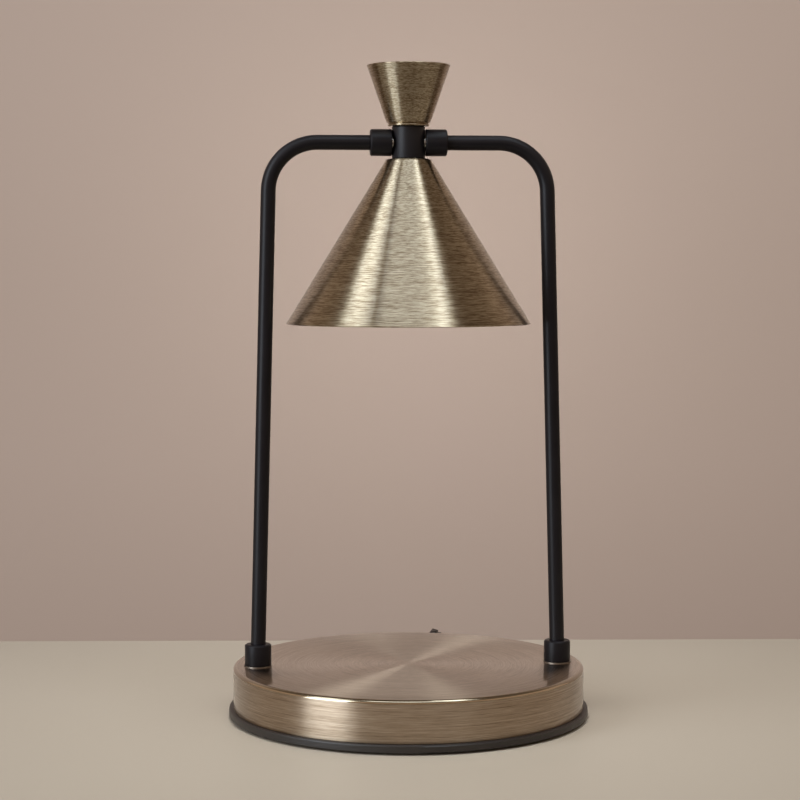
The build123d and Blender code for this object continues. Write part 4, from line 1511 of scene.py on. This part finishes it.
@dataclass
class MainsCord(SubAssembly):
    """The cord with its relief, its tied coil behind the base and its plug."""

    diameter: float = 5.0
    lead: tuple[Point, ...] = (
        (52.35, 90.673, 13.5), (58.9, 102.0, 13.2), (62.6, 115.0, 9.8), (61.8, 128.4, 6.0),
        (55.2, 139.9, 3.7), (44.4, 148.0, 2.6), (31.2, 151.4, 2.9), (18.4, 150.5, 3.1),
    )
    coil_center: Pair = (18.0, 117.7)
    coil_radii: tuple[float, ...] = (31.0, 26.0, 21.0, 21.0, 26.0, 31.0)
    coil_heights: tuple[float, ...] = (3.1, 3.1, 3.1, 8.1, 8.1, 8.1)
    coil_start: float = 89.0
    coil_leave: float = 147.0
    turn_points: int = 20
    turn_hold: float = 0.75
    end_gap: float = 0.8
    tail: tuple[Point, ...] = (
        (-10.1, 135.95, 8.1), (-16.5, 126.1, 7.8), (-24.5, 117.1, 6.9), (-34.0, 109.8, 6.2),
    )
    kept: ClassVar[dict[str, Finish]] = {"plug_blades": Finish.CONTACT}

    def coil_point(self, turned: float) -> Point:
        """Finds a point on the coil.

        Each turn holds its radius and height for most of its way and then eases to the next one's.

        Args:
            turned: How far round it is from the coil's start, in degrees.

        Returns:
            The point.
        """
        done = turned / 360.0
        last = len(self.coil_radii) - 1
        turn = min(int(done), last)
        ahead = min(turn + 1, last)
        share = max(0.0, done - turn - self.turn_hold) / (1 - self.turn_hold) if turn < last else 0.0
        ease = share * share * (3 - 2 * share)
        radius = self.coil_radii[turn] * (1 - ease) + self.coil_radii[ahead] * ease
        height = self.coil_heights[turn] * (1 - ease) + self.coil_heights[ahead] * ease
        around = math.radians(self.coil_start + turned)
        x, y = self.coil_center
        return (x + radius * math.cos(around), y + radius * math.sin(around), height)

    def coil_points(self) -> list[Point]:
        """Lists the points of the coil's turns: in along the bottom layer and out along the top one.

        Returns:
            The points between lead and tail.
        """
        step = 360.0 / self.turn_points
        total = 360.0 * len(self.coil_radii) + self.coil_leave - self.coil_start
        count = math.ceil(total / step - self.end_gap) - 1
        return [self.coil_point(step * index) for index in range(1, count + 1)]

    def cord(self) -> bpy.types.Object:
        """Draws the whole cord as one smooth curve.

        Returns:
            The finished cord.
        """
        points = [*self.lead, *self.coil_points(), *self.tail]
        curve = bpy.data.curves.new("mains_cord", "CURVE")
        curve.dimensions = "3D"
        curve.bevel_depth = self.diameter / 2 * MM
        curve.bevel_resolution = 5
        curve.resolution_u = 5
        curve.use_fill_caps = True
        spline = curve.splines.new("NURBS")
        spline.points.add(len(points) - 1)
        for point, place in zip(spline.points, points):
            point.co = (*(Vector(place) * MM), 1.0)
        spline.order_u = 3
        spline.use_endpoint_u = True
        cord = bpy.data.objects.new("mains_cord", curve)
        bpy.context.scene.collection.objects.link(cord)
        nodes = ("cord_lead", "cord_coil", "cord_tail")
        return finish_piece(cord, Finish.CORD, Slot.CORD_PLASTIC, Body.BASE, *nodes)

    def build(self) -> None:
        cord = self.cord()
        relief = StrainRelief().build()
        tie = WireTie(self.coil_center).build()
        plug = Plug(self.tail[-1]).build()
        self.dress_kept()


# ---- Room, lights and camera ----


@dataclass(frozen=True)
class SoftLight:
    """One soft area light that faces a point. No light is seen by the camera itself."""

    name: str
    place: Point
    size: Pair
    power: float
    colour: Colour
    aim: Point = (0.0, 0.0, 0.2)
    spread: float = 180.0
    in_reflections: bool = True

    def add(self) -> None:
        """Adds the light to the scene."""
        lamp = bpy.data.lights.new(self.name, "AREA")
        lamp.shape = "RECTANGLE"
        lamp.size, lamp.size_y = self.size
        lamp.energy = self.power
        lamp.color = self.colour
        lamp.spread = math.radians(self.spread)
        holder = bpy.data.objects.new(self.name, lamp)
        holder.location = self.place
        facing = Vector(self.aim) - Vector(self.place)
        holder.rotation_euler = facing.to_track_quat("-Z", "Y").to_euler()
        holder.visible_glossy = self.in_reflections
        holder.visible_camera = False
        bpy.context.scene.collection.objects.link(holder)


@dataclass
class Studio:
    """The table, the wall behind it, the soft lights and the camera, in metres."""

    table_back: float = 0.1885
    table_front: float = -0.34
    table_width: float = 3.0
    table_turn: float = 3.4
    table_colour: Colour = (0.415, 0.364, 0.292)
    table_roughness: float = 0.5
    wall_place: float = 1.3
    wall_size: float = 3.6
    wall_colour: Colour = (0.522, 0.413, 0.343)
    wall_roughness: float = 0.9
    room_colours: tuple[tuple[float, Colour], ...] = (
        (0.0, (0.10, 0.07, 0.05)), (0.48, (0.10, 0.07, 0.05)), (0.54, (0.48, 0.36, 0.28)),
        (0.70, (0.62, 0.47, 0.37)), (0.79, (0.24, 0.175, 0.13)), (0.88, (0.15, 0.11, 0.08)),
    )
    lights: tuple[SoftLight, ...] = (
        SoftLight("window", (-1.77, -1.12, 0.655), (1.14, 1.95), 35.0, (0.90, 1.0, 1.12)),
        SoftLight("skylight", (-1.38, -0.34, 1.96), (0.78, 0.78), 5.4, (0.90, 1.0, 1.08)),
        SoftLight("softbox", (0.02, -0.82, 1.75), (1.60, 0.7), 7.4, (0.90, 1.0, 1.10)),
        SoftLight("strip", (0.67, -0.56, 1.6), (0.24, 0.6), 1.55, (0.90, 1.0, 1.08)),
        SoftLight("ceiling", (0.44, 0.0, 1.84), (0.4, 0.4), 2.3, (0.90, 1.0, 1.08)),
        SoftLight(
            "fill", (1.25, 0.35, 0.85), (0.7, 0.7), 2.5, (0.95, 1.0, 1.01), aim=(0.40, 1.3, 0.2),
            in_reflections=False),
        SoftLight(
            "wall_glow", (0.09, 0.85, 0.25), (0.12, 0.12), 0.64, (1.0, 0.99, 0.98), aim=(0.08, 1.3, 0.25),
            in_reflections=False),
        SoftLight(
            "table_glow", (-0.03, -0.06, 1.0), (0.12, 0.12), 0.48, (1.0, 0.99, 0.98), aim=(0.0, 0.0, 0.0),
            spread=55.0, in_reflections=False),
    )
    eye: Point = (-0.07576, -0.95258, 0.21293)
    down: float = 3.801
    aside: float = 4.309
    lens: float = 91.41
    sensor: float = 36.0
    near: float = 0.01

    def sheet(self, name: str, colour: Colour, roughness: float, size: Pair, matrix: Matrix) -> None:
        """Adds one plain staged sheet.

        Args:
            name: The sheet's name.
            colour: Its colour.
            roughness: Its roughness.
            size: Its width and depth.
            matrix: Its place.
        """
        Bench.clear()
        bpy.ops.mesh.primitive_plane_add(size=1.0)
        sheet = Bench.name_new(name)
        Bench.place(sheet, matrix @ Matrix.Diagonal((*size, 1, 1)))
        material, _, shader = new_material(name)
        shader.inputs["Base Color"].default_value = socket_value(colour)
        shader.inputs["Roughness"].default_value = roughness
        sheet.data.materials.append(material)

    def sheets(self) -> None:
        """Lays the table's top and stands the wall behind it, square to the camera."""
        depth = self.table_back - self.table_front
        middle = Matrix.Translation((0, self.table_back - depth / 2, 0))
        self.sheet(
            "table_top", self.table_colour, self.table_roughness, (self.table_width, depth),
            rotated(-self.table_turn, "Z") @ middle)
        behind = Matrix.Translation((0, self.wall_place, 0))
        self.sheet(
            "room_wall", self.wall_colour, self.wall_roughness, (self.wall_size, self.wall_size),
            rotated(-self.aside, "Z") @ behind @ rotated(90, "X"))

    def room(self) -> None:
        """Sets the world: a dark floor below, a lit room at eye level and a dim ceiling above."""
        world = bpy.data.worlds.new("room")
        bpy.context.scene.world = world
        world.use_nodes = True
        graph = Graph(world.node_tree)
        direction = graph.add("ShaderNodeSeparateXYZ")
        graph.link(graph.add("ShaderNodeTexCoord").outputs["Generated"], direction.inputs[0])
        ramp = graph.add("ShaderNodeValToRGB")
        # Straight down reads the ramp at 0, the horizon at 0.5 and straight up at 1.
        graph.link(graph.calc("MULTIPLY_ADD", direction.outputs[2], 0.5, 0.5), ramp.inputs[0])
        stops = ramp.color_ramp.elements
        for index, (spot, colour) in enumerate(self.room_colours):
            stop = stops[index] if index < len(stops) else stops.new(spot)
            stop.position = spot
            stop.color = socket_value(colour)
        graph.link(ramp.outputs[0], world.node_tree.nodes["Background"].inputs["Color"])

    def camera(self) -> None:
        """Sets the camera at the viewing place."""
        camera = bpy.data.cameras.new("camera")
        camera.lens = self.lens
        camera.sensor_width = self.sensor
        camera.clip_start = self.near
        holder = bpy.data.objects.new("camera", camera)
        holder.location = self.eye
        holder.rotation_euler = (math.radians(90 - self.down), 0, math.radians(-self.aside))
        bpy.context.scene.collection.objects.link(holder)
        bpy.context.scene.camera = holder

    def build(self) -> None:
        """Sets the table, wall, lights, world and camera."""
        bpy.context.scene.view_settings.view_transform = "Standard"
        self.sheets()
        for light in self.lights:
            light.add()
        self.room()
        self.camera()


def main() -> None:
    """Builds the studio and every sub-assembly."""
    Studio().build()
    for part in (MainsCord(), WeightedBase(), Hoop(), TiltingHead(), Bulb()):
        LOG.info("-- %s", type(part).__name__)
        part.build()


if __name__ == "__main__":
    main()
